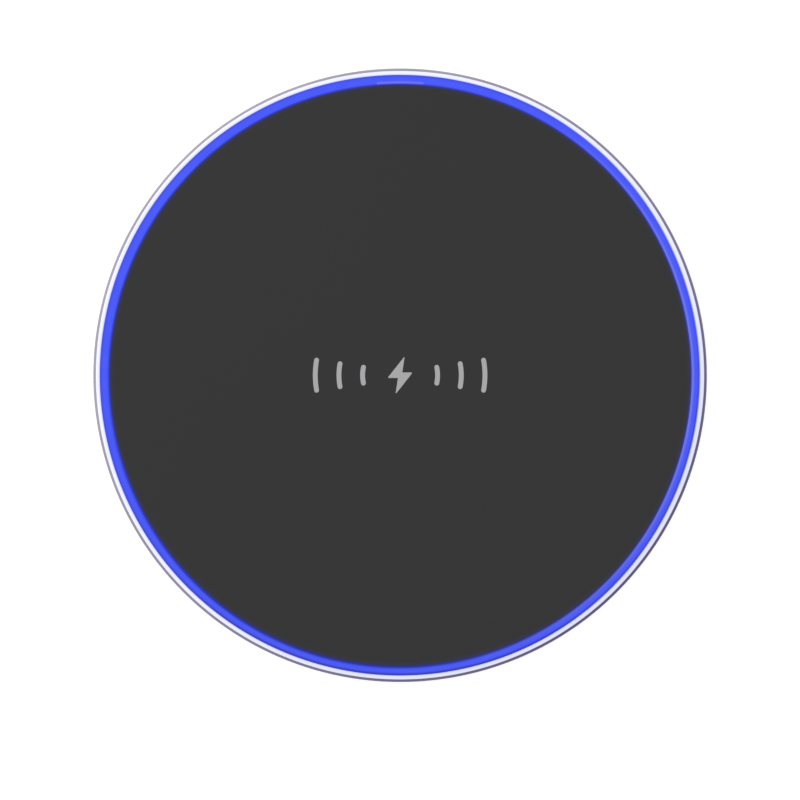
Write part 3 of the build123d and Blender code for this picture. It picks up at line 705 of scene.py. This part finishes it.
def mark_outlines():
    """A lightning bolt with three arcs on either side."""
    STROKE = 0.78
    # x and y from the mark's middle, rounding
    BOLT = [
        (0.75, 3.10, 0.06),
        (-2.05, -0.45, 0.12),
        (-0.35, -0.45, 0.0),
        (-0.75, -3.10, 0.06),
        (2.05, 0.45, 0.12),
        (0.35, 0.45, 0.0),
    ]
    ARCS = [(6.1, 12.2), (9.95, 10.8), (13.8, 10.2)]  # radius, half angle in degrees
    centre_x, centre_y = ((lo + hi) / 2 for lo, hi in zip(mark_lo[:2], mark_hi[:2]))
    outlines = [rounded([(centre_x + x, centre_y + y, radius) for x, y, radius in BOLT])]
    for radius, half in ARCS:
        for start in (-half, 180 - half):
            outlines.append(
                curved_slot(centre_x, centre_y, radius, start, start + 2 * half, STROKE)
            )
    return outlines


def build_disc_and_mark():
    outlines = mark_outlines()
    # radius, z, rounding
    profile = [
        (0, DISC_BOTTOM, 0),
        (DISC_RADIUS, DISC_BOTTOM, 0),
        (DISC_RADIUS, DISC_TOP, 0.25),
        (0, DISC_TOP, 0),
    ]
    disc = lathe("charging_disc_pad", rounded(profile), 720)
    pockets = [prism("pocket", outline, MARK_FLOOR, DISC_TOP + 0.4) for outline in outlines]
    boolean(disc, joined("pockets", pockets))
    finish_piece(disc, "charging_disc", [disc_material()], angle=40)

    inlays = [prism("inlay", outline, MARK_FLOOR, DISC_TOP) for outline in outlines]
    mark = joined("charging_mark_ink", inlays)
    fix_normals(mark)
    finish_piece(mark, "charging_mark", [ink_material()], angle=40)


# ==================================================== base cover
SCREW_CIRCLE = 37.0
SCREWS = [polar(0, 0, SCREW_CIRCLE, degrees) for degrees in (45, 135, 225, 315)]


def screw_columns(name, radius, z0, z1):
    """An upright cylinder at each screw."""
    return joined(name, [prism(name, circle(x, y, radius), z0, z1) for x, y in SCREWS])


def radial_rib(degrees):
    angle = math.radians(degrees)
    along = Vector((math.cos(angle), math.sin(angle)))
    aside = Vector((-math.sin(angle), math.cos(angle)))
    points = [along * s + aside * t for s, t in rectangle((25.3, 42.1), (-0.4, 0.4))]
    return prism("rib", [(p.x, p.y) for p in points], BASE_FLOOR - UNION_OVERLAP, BASE_FLOOR + 0.25)


def build_base():
    HUB_WALL_TOP, OUTER_WALL_TOP, LIP_TOP = 3.1, 1.9, 1.78
    # radius, z, rounding: along the underside outwards, then back over the inside
    profile = [
        (0, BASE_BOTTOM + 0.15, 0),
        (26.95, BASE_BOTTOM + 0.15, 0.08),
        (27.15, BASE_BOTTOM, 0.05),
        (29.9, BASE_BOTTOM, 0.08),
        (29.9, BASE_BOTTOM + 0.3, 0),
        (43.1, BASE_BOTTOM + 0.3, 0),
        (43.1, BASE_BOTTOM, 0.08),
        (46.6, BASE_BOTTOM, 1.2),
        (48.00, 0.86, 0.10),
        (48.15, 0.98, 0.05),
        (48.15, LIP_TOP, 0),
        (46.9, LIP_TOP, 0),
        (46.6, BASE_FLOOR, 0),
        (42.8, BASE_FLOOR, 0),
        (42.8, OUTER_WALL_TOP, 0),
        (42.0, OUTER_WALL_TOP, 0),
        (42.0, BASE_FLOOR, 0),
        (25.4, BASE_FLOOR, 0.1),
        (25.4, HUB_WALL_TOP, 0.12),
        (24.6, HUB_WALL_TOP, 0.12),
        (24.6, BASE_FLOOR, 0.1),
        (0, BASE_FLOOR, 0),
    ]
    base = lathe("base_cover_moulding", rounded(profile), 512)
    sunk = BASE_FLOOR - UNION_OVERLAP
    boolean(base, screw_columns("bosses", radius=2.9, z0=sunk, z1=1.9), "UNION")
    boolean(base, joined("ribs", [radial_rib(15 + 30 * i) for i in range(12)]), "UNION")
    # upright rib that stands in the rim's notch
    key_rib = slab("key_rib", (-1.45, 1.45), (-48.0, -45.5), (sunk, 3.9), radius=0.2)
    boolean(base, key_rib, "UNION")
    boolean(base, screw_columns("holes", radius=1.0, z0=0.2, z1=2.4))
    boolean(base, screw_columns("counterbores", radius=2.0, z0=0.2, z1=1.35))
    # relief under the socket
    boolean(base, slab("relief", (-4.8, 4.8), (44.1, 46.7), (1.1, 1.6)))
    abs_plastic = plastic(
        "base_textured_abs", (0.016, 0.016, 0.0175), rough=0.55, grain_mm=0.28, depth_mm=0.02, spread=0.2
    )
    finish_piece(base, "base_cover", [abs_plastic], angle=30)


# ==================================================== foot
def rubber_material():
    mat = new_material("foot_silicone")
    grain = mat.noise(mm=0.2, detail=3, rough=0.6)
    dust = mat.noise(mm=5.0, detail=4, rough=0.6)
    base = mat.mix(mat.ramp(grain), (0.030, 0.030, 0.032), (0.042, 0.042, 0.044))
    dusty = mat.ramp(dust, span=(0.55, 0.8), to=(0.0, 0.25))
    return mat.shader(
        Base_Color=mat.mix(dusty, base, (0.075, 0.073, 0.070)),
        Roughness=mat.ramp(dust, to=(0.62, 0.78)),
        Specular_IOR_Level=0.3,
        Sheen_Weight=0.05,
        Normal=mat.bump(grain, depth_mm=0.008),
    )


def build_foot():
    """Flat ring with fine concentric grooves in its underside."""
    INNER, OUTER, TOP = 30.0, foot_hi[0], foot_hi[2]
    MARGIN, PITCH, EDGE_ROUNDING = 0.9, 0.78, 0.22
    # one groove: radius from its middle, z, rounding
    GROOVE = [(-0.16, 0.0, 0.05), (-0.05, 0.13, 0.04), (0.05, 0.13, 0.04), (0.16, 0.0, 0.05)]
    profile = [(INNER, TOP, 0), (INNER, 0.0, EDGE_ROUNDING)]
    middle = INNER + MARGIN
    while middle < OUTER - MARGIN:
        profile += [(middle + offset, z, rounding) for offset, z, rounding in GROOVE]
        middle += PITCH
    profile += [(OUTER, 0.0, EDGE_ROUNDING), (OUTER, TOP, 0)]
    foot = lathe("foot_ring_ribbed", rounded(profile), 288)
    finish_piece(foot, "foot_ring", [rubber_material()], angle=50)


# ==================================================== Micro-USB socket
def socket_ring(inset, y):
    """The shell's section at y, with sloping upper corners, drawn in by inset."""
    rounding = max(0.12, 0.45 - inset)
    side = SOCKET_WIDTH / 2 - inset
    shoulder = SOCKET_WIDTH / 2 - 0.90 - inset * 0.45
    bottom, top = SOCKET_BOTTOM + inset, SOCKET_TOP - inset
    slope_foot = SOCKET_BOTTOM + 1.50 - inset * 0.41
    corners = [
        (-side, bottom),
        (side, bottom),
        (side, slope_foot),
        (shoulder, top),
        (-shoulder, top),
        (-side, slope_foot),
    ]
    return [(x, y, z) for x, z in rounded([(x, z, rounding) for x, z in corners])]


def latch_tongue(middle):
    """Tongue in a latch opening, bowed down along its length."""
    rows = []
    for k in range(13):
        y = 45.55 + 2.4 * k / 12
        dip = -0.10 * math.sin(math.pi * max(0.0, (k - 2) / 10))
        z0 = SOCKET_TOP - 0.34 + dip
        section = rectangle((middle - 0.25, middle + 0.25), (z0, z0 + 0.18))
        rows.append([(x, y, z) for x, z in section])
    return loft("tongue", rows)


def shell_leg(middle):
    BACK, FRONT, TOP, SHOULDER, TIP = 44.85, 45.95, 3.92, 1.95, 1.72
    TAPER = 0.20
    # y, z, rounding
    outline = rounded(
        [
            (BACK, TOP, 0),
            (FRONT, TOP, 0),
            (FRONT, SHOULDER, 0.15),
            (FRONT - TAPER, TIP, 0.1),
            (BACK + TAPER, TIP, 0.1),
            (BACK, SHOULDER, 0.15),
        ]
    )
    return loft("leg", [[(x, y, z) for y, z in outline] for x in (middle - 0.15, middle + 0.15)])


def build_socket_shell():
    LATCH_X, LEG_X = 1.7, 3.85
    # inset, y: along the outside, round the mouth's lip and back inside
    stations = [
        (0.0, SOCKET_BACK),
        (0.0, SOCKET_MOUTH - 0.10),
        (0.03, SOCKET_MOUTH - 0.03),
        (0.10, SOCKET_MOUTH),
        (0.20, SOCKET_MOUTH - 0.01),
        (0.28, SOCKET_MOUTH - 0.12),
        (0.30, SOCKET_MOUTH - 0.25),
        (0.30, SOCKET_BACK),
    ]
    sheet = loft("socket_sheet", [socket_ring(inset, y) for inset, y in stations], wrap=True)
    for x in (-LATCH_X, LATCH_X):
        z_span = (SOCKET_TOP - 0.6, SOCKET_TOP + 0.3)
        boolean(sheet, slab("latch", (x - 0.375, x + 0.375), (45.85, 47.95), z_span))
    # folded seam along the floor of the shell
    y_span = (SOCKET_BACK - 0.2, SOCKET_MOUTH + 0.2)
    z_span = (SOCKET_BOTTOM - 0.1, SOCKET_BOTTOM + 0.06)
    boolean(sheet, slab("seam", (-0.03, 0.03), y_span, z_span))
    tongues = [latch_tongue(x) for x in (-LATCH_X, LATCH_X)]
    legs = [shell_leg(x) for x in (-LEG_X, LEG_X)]
    shell = joined("usb_shell_sheet_metal", [sheet] + tongues + legs)
    fix_normals(shell)
    nickel = metal(
        "socket_nickel", (0.66, 0.65, 0.63), rough=0.26, brush_mm=0.10, stretch=10, depth_mm=0.002
    )
    finish_piece(shell, "usb_shell", [nickel], angle=32)


# ==================================================== coil of twisted strands
def coil_material():
    mat = new_material("coil_enamelled_copper")
    strand = mat.noise(mm=0.12, detail=3, rough=0.6)
    drift = mat.noise(mm=3.0, detail=3, rough=0.6)
    base = mat.mix(mat.ramp(strand), (0.42, 0.135, 0.045), (0.66, 0.26, 0.10))
    drift_ramp = mat.ramp(drift, span=(0.5, 0.8), to=(0.0, 0.5))
    return mat.shader(
        Base_Color=mat.mix(drift_ramp, base, (0.50, 0.22, 0.07)),
        Metallic=0.85,
        Roughness=mat.ramp(strand, to=(0.26, 0.36)),
        Coat_Weight=0.5,
        Coat_Roughness=0.15,
        Normal=mat.bump(strand, depth_mm=0.006),
    )


WIRE_RADIUS = 0.54


def lead_path(x, stations):
    """Points along Y through (y, z, steps to the next station), z eased; the last is left out."""
    points = []
    for (y0, z0, steps), (y1, z1, _) in zip(stations, stations[1:]):
        for k in range(steps):
            t = k / steps
            z = z0 + (z1 - z0) * t * t * (3 - 2 * t)
            points.append(Vector((x, y0 + (y1 - y0) * k / steps, z)))
    return points


def coil_path():
    """Centre line: the lead in under the coil, the flat spiral, and the lead out."""
    PITCH, HALF_TURNS, FIRST_RADIUS, POINT_SPACING = 1.13, 20, 10.7, 0.9
    coil_z, lead_z = coil_hi[2] - WIRE_RADIUS, coil_lo[2] + WIRE_RADIUS
    SLOT_Z = 3.80
    # half turns are centred a quarter pitch to either side, so that they meet as a spiral
    shift, growth = PITCH / 4, PITCH / 2
    lead_in = [
        (-28.6, lead_z, 4),
        (-26.6, lead_z, 8),
        (-22.6, SLOT_Z, 24),
        (-3.9, SLOT_Z, 8),
        (0.0, coil_z, 0),
    ]
    lead_out = [(0.0, coil_z, 12), (10.4, coil_z, 10), (17.0, lead_z, 3), (19.6, lead_z, 0)]
    path = lead_path(FIRST_RADIUS - shift, lead_in)
    for half_turn in range(HALF_TURNS):
        radius = FIRST_RADIUS + growth * half_turn
        side = 1 if half_turn % 2 == 0 else -1
        steps = int(math.pi * radius / POINT_SPACING)
        for k in range(steps):
            angle = math.pi * k / steps
            x = -side * shift + side * radius * math.cos(angle)
            path.append(Vector((x, side * radius * math.sin(angle), coil_z)))
    x_out = shift + FIRST_RADIUS + growth * (HALF_TURNS - 1)
    path += lead_path(x_out, lead_out)
    path.append(Vector((x_out, lead_out[-1][0], lead_z)))
    return path


def build_coil():
    LOBES, AROUND = 8, 40
    LOBE_DEPTH, LOBE_POWER, TWIST_LENGTH = 0.085, 0.7, 14.0
    path = coil_path()
    rings = []
    travel = 0.0
    for i, point in enumerate(path):
        before = path[max(0, i - 1)]
        after = path[min(len(path) - 1, i + 1)]
        if i:
            travel += (point - before).length
        tangent = (after - before).normalized()
        up = (Vector((0, 0, 1)) - tangent * tangent.z).normalized()
        side = tangent.cross(up)
        twist = TAU * travel / TWIST_LENGTH
        ring = []
        for j in range(AROUND):
            angle = TAU * j / AROUND
            lobe = abs(math.cos(LOBES / 2 * (angle - twist))) ** LOBE_POWER
            radius = WIRE_RADIUS - LOBE_DEPTH + LOBE_DEPTH * lobe
            ring.append(point + (side * math.cos(angle) + up * math.sin(angle)) * radius)
        rings.append(ring)
    coil = loft("coil_twisted_wire", rings)
    finish_piece(coil, "transmitter_coil", [coil_material()], angle=60, weighted=False)


# ==================================================== case screws
HEAD_BOTTOM, SCREW_TIP = screw_lo[2], screw_hi[2]
SEAT = HEAD_BOTTOM + 0.5
THREAD_START = SEAT + 0.10


def screw_head():
    """Round head with a tapered cross recess in its underside."""
    HEAD_RADIUS, NECK_RADIUS, NECK_TOP = 1.7, 0.72, SEAT + 0.15
    # radius, z, rounding
    profile = [
        (0, HEAD_BOTTOM, 0),
        (HEAD_RADIUS, HEAD_BOTTOM, 0.22),
        (HEAD_RADIUS, SEAT, 0.05),
        (NECK_RADIUS, SEAT, 0),
        (NECK_RADIUS, NECK_TOP, 0),
        (0, NECK_TOP, 0),
    ]
    head = lathe("head", rounded(profile), 48)
    # z, half length, half width of a recess arm
    ARM = [(HEAD_BOTTOM - 0.2, 1.0, 0.24), (HEAD_BOTTOM + 0.30, 0.62, 0.13)]
    arm = [
        [(x, y, z) for x, y in rectangle((-length, length), (-width, width))]
        for z, length, width in ARM
    ]
    boolean(head, loft("arm", arm))
    boolean(head, loft("arm", [[(-y, x, z) for x, y, z in ring] for ring in arm]))
    return head


def screw_shank():
    """Threaded shank; the thread fades in below the head and the tip tapers."""
    SIDES, RING_STEP = 32, 0.06
    CORE, THREAD_HEIGHT, THREAD_PITCH, THREAD_HALF_WIDTH = 0.60, 0.22, 0.6, 0.32
    FADE_LENGTH, TIP_LENGTH = 0.35, 0.55
    heights = []
    z = THREAD_START
    while z < SCREW_TIP - 1e-6:
        heights.append(z)
        z += RING_STEP
    heights.append(SCREW_TIP)
    rings = []
    for z in heights:
        fade = min(1.0, (z - SEAT - 0.10) / FADE_LENGTH)
        tip = min(1.0, max(0.05, (SCREW_TIP - z) / TIP_LENGTH))
        ring = []
        for j in range(SIDES):
            phase = ((z - SEAT) / THREAD_PITCH - j / SIDES) % 1.0
            ridge = max(0.0, 1 - abs(phase - 0.5) / THREAD_HALF_WIDTH)
            radius = (CORE + THREAD_HEIGHT * ridge * fade) * (0.25 + 0.75 * tip)
            angle = TAU * j / SIDES
            ring.append((radius * math.cos(angle), radius * math.sin(angle), z))
        rings.append(ring)
    return loft("shank", rings)


def build_screws():
    screws = []
    for x, y in SCREWS:
        screw = joined("screw", [screw_head(), screw_shank()])
        screw.data.transform(Matrix.Translation((x, y, 0)))
        screws.append(screw)
    screw_set = joined("case_screws_threaded", screws)
    fix_normals(screw_set)
    zinc = metal("screw_black_zinc", (0.11, 0.11, 0.12), rough=0.3, tarnish=(0.05, 0.05, 0.055))
    finish_piece(screw_set, "case_screws", [zinc], angle=40)


# ==================================================== finishes of the CAD nodes that stay
def board_material():
    """Green board: cells of parallel tracks, copper poured between them, and plated dots."""
    CELL_MM, TRACK_PITCH_MM, DOT_PITCH_MM = 7.0, 0.56, 2.3
    BOTTOM, TOP = 0.00190, 0.00270  # the board's faces, in metres
    SKIN = (0.00002, 0.00008)  # depths over which a face gives way to the bare edge
    mat = new_material("board_solder_mask")
    x, y, z = mat.xyz()
    mm_x = mat.times(x, 1000.0)
    mm_y = mat.times(y, 1000.0)
    # each square cell runs its tracks across x, across y or on the diagonal
    cell_look = {"metric": "CHEBYCHEV", "randomness": 0.75}
    cell = mat.voronoi(mm=CELL_MM, output="Color", **cell_look)
    pick_run, pick_filled, _ = mat.xyz(cell)
    depth = mat.voronoi(mm=CELL_MM, **cell_look)
    along_x = mat.math("GREATER_THAN", pick_run, 0.4)
    run = mat.mix(along_x, mat.combine(mm_x, mm_x, mm_x), mat.combine(mm_y, mm_y, mm_y))
    slant = mat.times(mat.plus(mm_x, mm_y), 0.7071)
    diagonal = mat.math("GREATER_THAN", pick_run, 0.72)
    run = mat.mix(diagonal, run, mat.combine(slant, slant, slant))
    across, _, _ = mat.xyz(run)
    phase = mat.math("FRACT", mat.math("DIVIDE", across, TRACK_PITCH_MM))
    off_middle = mat.math("ABSOLUTE", mat.math("SUBTRACT", phase, 0.5))
    line = mat.ramp(off_middle, span=(0.17, 0.22), to=(1.0, 0.0))
    # some tracks, and some whole cells, are left out
    number = mat.math("FLOOR", mat.math("DIVIDE", across, TRACK_PITCH_MM))
    chance = mat.node("TexWhiteNoise", {"Vector": cell, "W": number}, noise_dimensions="4D")
    line = mat.times(line, mat.math("GREATER_THAN", chance.outputs["Value"], 0.45))
    line = mat.times(line, mat.math("GREATER_THAN", pick_filled, 0.25))
    inside = mat.ramp(depth, span=(0.42, 0.44), to=(1.0, 0.0))
    track = mat.times(line, inside)
    # ground copper poured round the tracks
    patches = mat.ramp(mat.noise(mm=9.0, detail=1), span=(0.46, 0.48))
    pour = mat.times(mat.math("SUBTRACT", 1.0, inside), patches)
    copper = mat.math("MAXIMUM", track, pour)
    dots = mat.ramp(mat.voronoi(mm=DOT_PITCH_MM, randomness=0.45), span=(0.11, 0.085))
    holes = mat.ramp(mat.voronoi(mm=DOT_PITCH_MM, randomness=0.45), span=(0.050, 0.035))
    fine = mat.ramp(mat.noise(mm=0.5, detail=3))
    mask = mat.mix(fine, (0.0045, 0.055, 0.022), (0.0065, 0.070, 0.028))
    mask = mat.mix(mat.times(copper, 0.9), mask, (0.011, 0.125, 0.048))
    mask = mat.mix(dots, mask, (0.52, 0.50, 0.44))
    mask = mat.mix(holes, mask, (0.01, 0.012, 0.01))
    edge = mat.times(
        mat.ramp(z, span=(BOTTOM + SKIN[0], BOTTOM + SKIN[1])),
        mat.ramp(z, span=(TOP - SKIN[1], TOP - SKIN[0]), to=(1.0, 0.0)),
    )
    return mat.shader(
        Base_Color=mat.mix(edge, mask, (0.19, 0.17, 0.075)),
        Roughness=mat.ramp(copper, span=(0.0, 1.0), to=(0.40, 0.30)),
        Specular_IOR_Level=0.5,
        Normal=mat.bump(mat.plus(copper, mat.times(dots, 0.5)), depth_mm=0.015),
    )


def film_material():
    mat = new_material("adhesive_film")
    stretched = mat.vmath("MULTIPLY", mat.coord, (1.0, 0.25, 1.0))
    fibre = mat.noise(mm=0.35, detail=4, rough=0.7, vector=stretched)
    return mat.shader(
        Base_Color=mat.mix(mat.ramp(fibre), (0.66, 0.63, 0.55), (0.78, 0.76, 0.69)),
        Roughness=mat.ramp(fibre, to=(0.4, 0.6)),
        Specular_IOR_Level=0.4,
        Normal=mat.bump(fibre, depth_mm=0.01),
    )


def ferrite_material():
    mat = new_material("ferrite_sintered")
    grain = mat.noise(mm=0.15, detail=4, rough=0.7)
    pits = mat.ramp(mat.voronoi(mm=0.9), span=(0.10, 0.02))
    base = mat.mix(mat.ramp(grain), (0.034, 0.034, 0.037), (0.058, 0.057, 0.060))
    return mat.shader(
        Base_Color=mat.mix(pits, base, (0.015, 0.015, 0.016)),
        Metallic=0.25,
        Roughness=mat.ramp(grain, to=(0.42, 0.6)),
        Normal=mat.bump(mat.math("SUBTRACT", grain, pits), depth_mm=0.015),
    )


def foam_material():
    mat = new_material("foam_open_cell")
    cells = mat.voronoi(mm=0.55)
    fine = mat.noise(mm=0.25, detail=3, rough=0.7)
    cell_ramp = mat.ramp(cells, span=(0.1, 0.6))
    return mat.shader(
        Base_Color=mat.mix(cell_ramp, (0.012, 0.012, 0.013), (0.050, 0.050, 0.054)),
        Roughness=0.9,
        Specular_IOR_Level=0.2,
        Sheen_Weight=0.2,
        Normal=mat.bump(mat.plus(cells, mat.times(fine, 0.4)), depth_mm=0.08),
    )


def ceramic(name, dark, light):
    mat = new_material(name)
    grain = mat.noise(mm=0.10, detail=4, rough=0.7)
    return mat.shader(
        Base_Color=mat.mix(mat.ramp(grain), dark, light),
        Roughness=mat.ramp(grain, to=(0.32, 0.45)),
        Specular_IOR_Level=0.5,
        Normal=mat.bump(grain, depth_mm=0.004),
    )


def lens_material():
    mat = new_material("led_phosphor_lens")
    swirl = mat.noise(mm=0.5, detail=3, rough=0.6)
    base = mat.mix(mat.ramp(swirl), (0.10, 0.13, 0.80), (0.20, 0.26, 0.95))
    return mat.shader(
        Base_Color=base,
        Roughness=0.18,
        Specular_IOR_Level=0.5,
        Coat_Weight=0.6,
        Emission_Color=base,
        Emission_Strength=0.8,
        Normal=mat.bump(swirl, depth_mm=0.01),
    )


def soften_edges(ob, width_mm):
    weld = ob.modifiers.new("weld", "WELD")
    weld.merge_threshold = 0.000002
    bevel = ob.modifiers.new("soft_edges", "BEVEL")
    bevel.width = width_mm * MM
    bevel.segments = 2
    bevel.limit_method = "ANGLE"
    bevel.angle_limit = math.radians(40)
    bevel.use_clamp_overlap = True
    bevel.harden_normals = True


def finish_cad_nodes():
    gold = metal(
        "contact_gold", (0.92, 0.66, 0.28), rough=0.2, brush_mm=0.05, stretch=6, depth_mm=0.001
    )
    insulator = plastic(
        "socket_insulator", (0.014, 0.014, 0.015), grain_mm=0.06, depth_mm=0.004, spread=0.2
    )
    tin = metal(
        "tinned_terminals", (0.72, 0.71, 0.69), rough=0.3, depth_mm=0.004, tarnish=(0.55, 0.54, 0.52)
    )
    solder = metal(
        "solder_fillets", (0.62, 0.62, 0.61), rough=0.2, depth_mm=0.01, tarnish=(0.45, 0.45, 0.44)
    )
    epoxy = plastic(
        "chip_epoxy", (0.014, 0.014, 0.015), rough=0.52, grain_mm=0.06, depth_mm=0.006, spread=0.25
    )
    bead = plastic("thermistor_epoxy", (0.012, 0.055, 0.11), rough=0.22, grain_mm=0.3, spec=0.5)
    plate = plastic("plate_abs", (0.018, 0.018, 0.020), grain_mm=0.2, spread=0.2)
    package = plastic(
        "led_white_package", (0.78, 0.78, 0.76), rough=0.4, grain_mm=0.1, depth_mm=0.004, spread=0.05
    )
    capacitor = ceramic("capacitor_ceramic", (0.26, 0.155, 0.075), (0.40, 0.25, 0.13))
    resistor = ceramic("resistor_glaze", (0.012, 0.012, 0.014), (0.030, 0.030, 0.034))
    film = film_material()
    # CAD node: material, width of its softened edges in mm (None leaves them alone)
    finishes = {
        "foot_adhesive": (film, None),
        "disc_adhesive": (film, None),
        "coil_adhesive": (film, None),
        "ferrite_adhesive": (film, None),
        "main_board": (board_material(), None),
        "usb_contacts": (gold, 0.03),
        "usb_insulator": (insulator, 0.05),
        "ferrite_shield": (ferrite_material(), 0.08),
        "coil_foam_pad": (foam_material(), 0.10),
        "thermistor_bead": (bead, None),
        "thermistor_leads": (tin, None),
        "top_plate": (plate, 0.08),
        "controller_chip": (epoxy, 0.04),
        "driver_chips": (epoxy, 0.05),
        "regulator_chip": (epoxy, 0.04),
        "controller_pads": (tin, None),
        "driver_leads": (tin, 0.02),
        "regulator_leads": (tin, 0.02),
        "capacitor_bodies": (capacitor, 0.06),
        "capacitor_terminals": (tin, 0.06),
        "resistor_bodies": (resistor, 0.03),
        "resistor_terminals": (tin, 0.04),
        "led_packages": (package, 0.06),
        "led_lenses": (lens_material(), None),
        "led_terminals": (tin, 0.03),
        "solder_joints": (solder, None),
    }
    for name, (material, edge_mm) in finishes.items():
        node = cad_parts[name]
        node.data.materials.clear()
        node.data.materials.append(material)
        for polygon in node.data.polygons:
            polygon.material_index = 0
        if edge_mm:
            soften_edges(node, edge_mm)


# ==================================================== floor, light and camera
LIT_FROM = (-0.766, 0.643, 0.0)  # the brighter side of the studio, towards -X +Y


def studio_tone(nodes, facing, level, swing):
    """Near-grey of a given level, brighter by swing towards the lit side."""
    tone = nodes.math("MULTIPLY_ADD", facing, swing, level)
    return nodes.combine(tone, nodes.times(tone, 0.985), nodes.plus(tone, 0.008))


def floor_material():
    mat = new_material("floor_paper")
    light_path = mat.node("LightPath")
    diffuse = mat.node("BsdfDiffuse", {"Color": (0.72, 0.72, 0.73)})
    camera_glow = mat.times(light_path.outputs["Is Camera Ray"], 0.52)
    glow = mat.node("Emission", {"Color": (1, 1, 1), "Strength": camera_glow})
    paper = mat.node("AddShader", {0: diffuse.outputs[0], 1: glow.outputs[0]})
    # in reflections the floor reads as the dim sweep of a studio table
    geometry = mat.node("NewGeometry")
    x, y, steepness = mat.xyz(geometry.outputs["Incoming"])
    away = [-c for c in LIT_FROM]
    side = mat.vmath("DOT_PRODUCT", mat.heading(x, y), away, out="Value")
    far = studio_tone(mat, side, level=0.335, swing=0.22)
    near = mat.math("MULTIPLY_ADD", side, 0.10, 0.58)  # swing, level
    near = mat.combine(near, near, mat.plus(near, 0.01))
    sweep_colour = mat.mix(mat.ramp(steepness, span=(0.10, 0.45)), far, near)
    sweep = mat.node("Emission", {"Color": sweep_colour, "Strength": 1.0})
    glossy = light_path.outputs["Is Glossy Ray"]
    above = mat.node("MixShader", {0: glossy, 1: paper.outputs[0], 2: sweep.outputs[0]})
    # seen from underneath, the floor is clear, so the base can be looked at
    clear = mat.node("BsdfTransparent")
    passed = mat.math("GREATER_THAN", light_path.outputs["Transparent Depth"], 0.5)
    below = mat.math("MAXIMUM", geometry.outputs["Backfacing"], passed)
    both = mat.node("MixShader", {0: below, 1: above.outputs[0], 2: clear.outputs[0]})
    mat.surface(both.outputs[0])
    return mat.owner


def build_floor():
    bm = bmesh.new()
    bmesh.ops.create_grid(bm, x_segments=24, y_segments=24, size=6.0)
    mesh = bpy.data.meshes.new("floor")
    bm.to_mesh(mesh)
    bm.free()
    floor = bpy.data.objects.new("floor", mesh)
    bpy.context.scene.collection.objects.link(floor)
    floor.location = (0.0, 0.0, -0.05 * MM)
    mesh.materials.append(floor_material())


def build_world():
    """A grey horizon rising to a white overhead; plain white to the camera."""
    world = bpy.data.worlds.new("studio")
    bpy.context.scene.world = world
    sky = Nodes(world, output="OutputWorld", coord_output="Generated")
    x, y, z = sky.xyz()
    facing = sky.vmath("DOT_PRODUCT", sky.heading(x, y), LIT_FROM, out="Value")
    horizon = studio_tone(sky, facing, level=0.395, swing=0.26)
    colour = sky.mix(sky.ramp(z, span=(0.12, 0.72)), horizon, (1.02, 1.02, 1.03))
    # white below as well, for rays that have passed through the floor
    light_path = sky.node("LightPath")
    passed = sky.math("GREATER_THAN", light_path.outputs["Transparent Depth"], 0.5)
    through_floor = sky.times(passed, sky.ramp(z, span=(-0.05, -0.5)))
    colour = sky.mix(through_floor, colour, (1.0, 1.0, 1.0))
    colour = sky.mix(light_path.outputs["Is Camera Ray"], colour, (1.0, 1.0, 1.0))
    sky.surface(sky.node("Background", {"Color": colour, "Strength": 1.0}).outputs[0])


def build_key_light():
    """Round area light above the -X +Y side, aimed at the origin."""
    light = bpy.data.lights.new("key", "AREA")
    light.shape = "DISK"
    light.size = 0.5
    light.energy = 1.2
    ob = bpy.data.objects.new("key", light)
    ob.location = (-0.45, 0.35, 0.75)
    ob.rotation_mode = "QUATERNION"
    ob.rotation_quaternion = (-ob.location).to_track_quat("-Z", "Y")
    bpy.context.scene.collection.objects.link(ob)


def build_camera():
    """Looks straight down, far enough up to frame half_view either side of the middle."""
    half_view = PAD_RADIUS * 1.30357
    FOCUS_DROP = 0.48  # the framed plane's depth below the rim's top
    MIDDLE_X, MIDDLE_Y = -0.0163, -4.0329
    camera = bpy.data.cameras.new("camera")
    camera.lens = 100
    camera.sensor_width = 36
    camera.clip_start = 0.01
    camera.clip_end = 20
    distance = half_view * camera.lens / (camera.sensor_width / 2)
    ob = bpy.data.objects.new("camera", camera)
    ob.location = (MIDDLE_X * MM, MIDDLE_Y * MM, (RIM_TOP - FOCUS_DROP + distance) * MM)
    ob.rotation_euler = (0, 0, 0)
    bpy.context.scene.collection.objects.link(ob)
    bpy.context.scene.camera = ob


build_rim()
build_light_ring()
build_disc_and_mark()
build_base()
build_foot()
build_socket_shell()
build_coil()
build_screws()
finish_cad_nodes()
build_floor()
build_world()
build_key_light()
build_camera()

view = bpy.context.scene.view_settings
view.view_transform = "Standard"
view.look = "None"
view.exposure = 0.0
view.gamma = 1.0
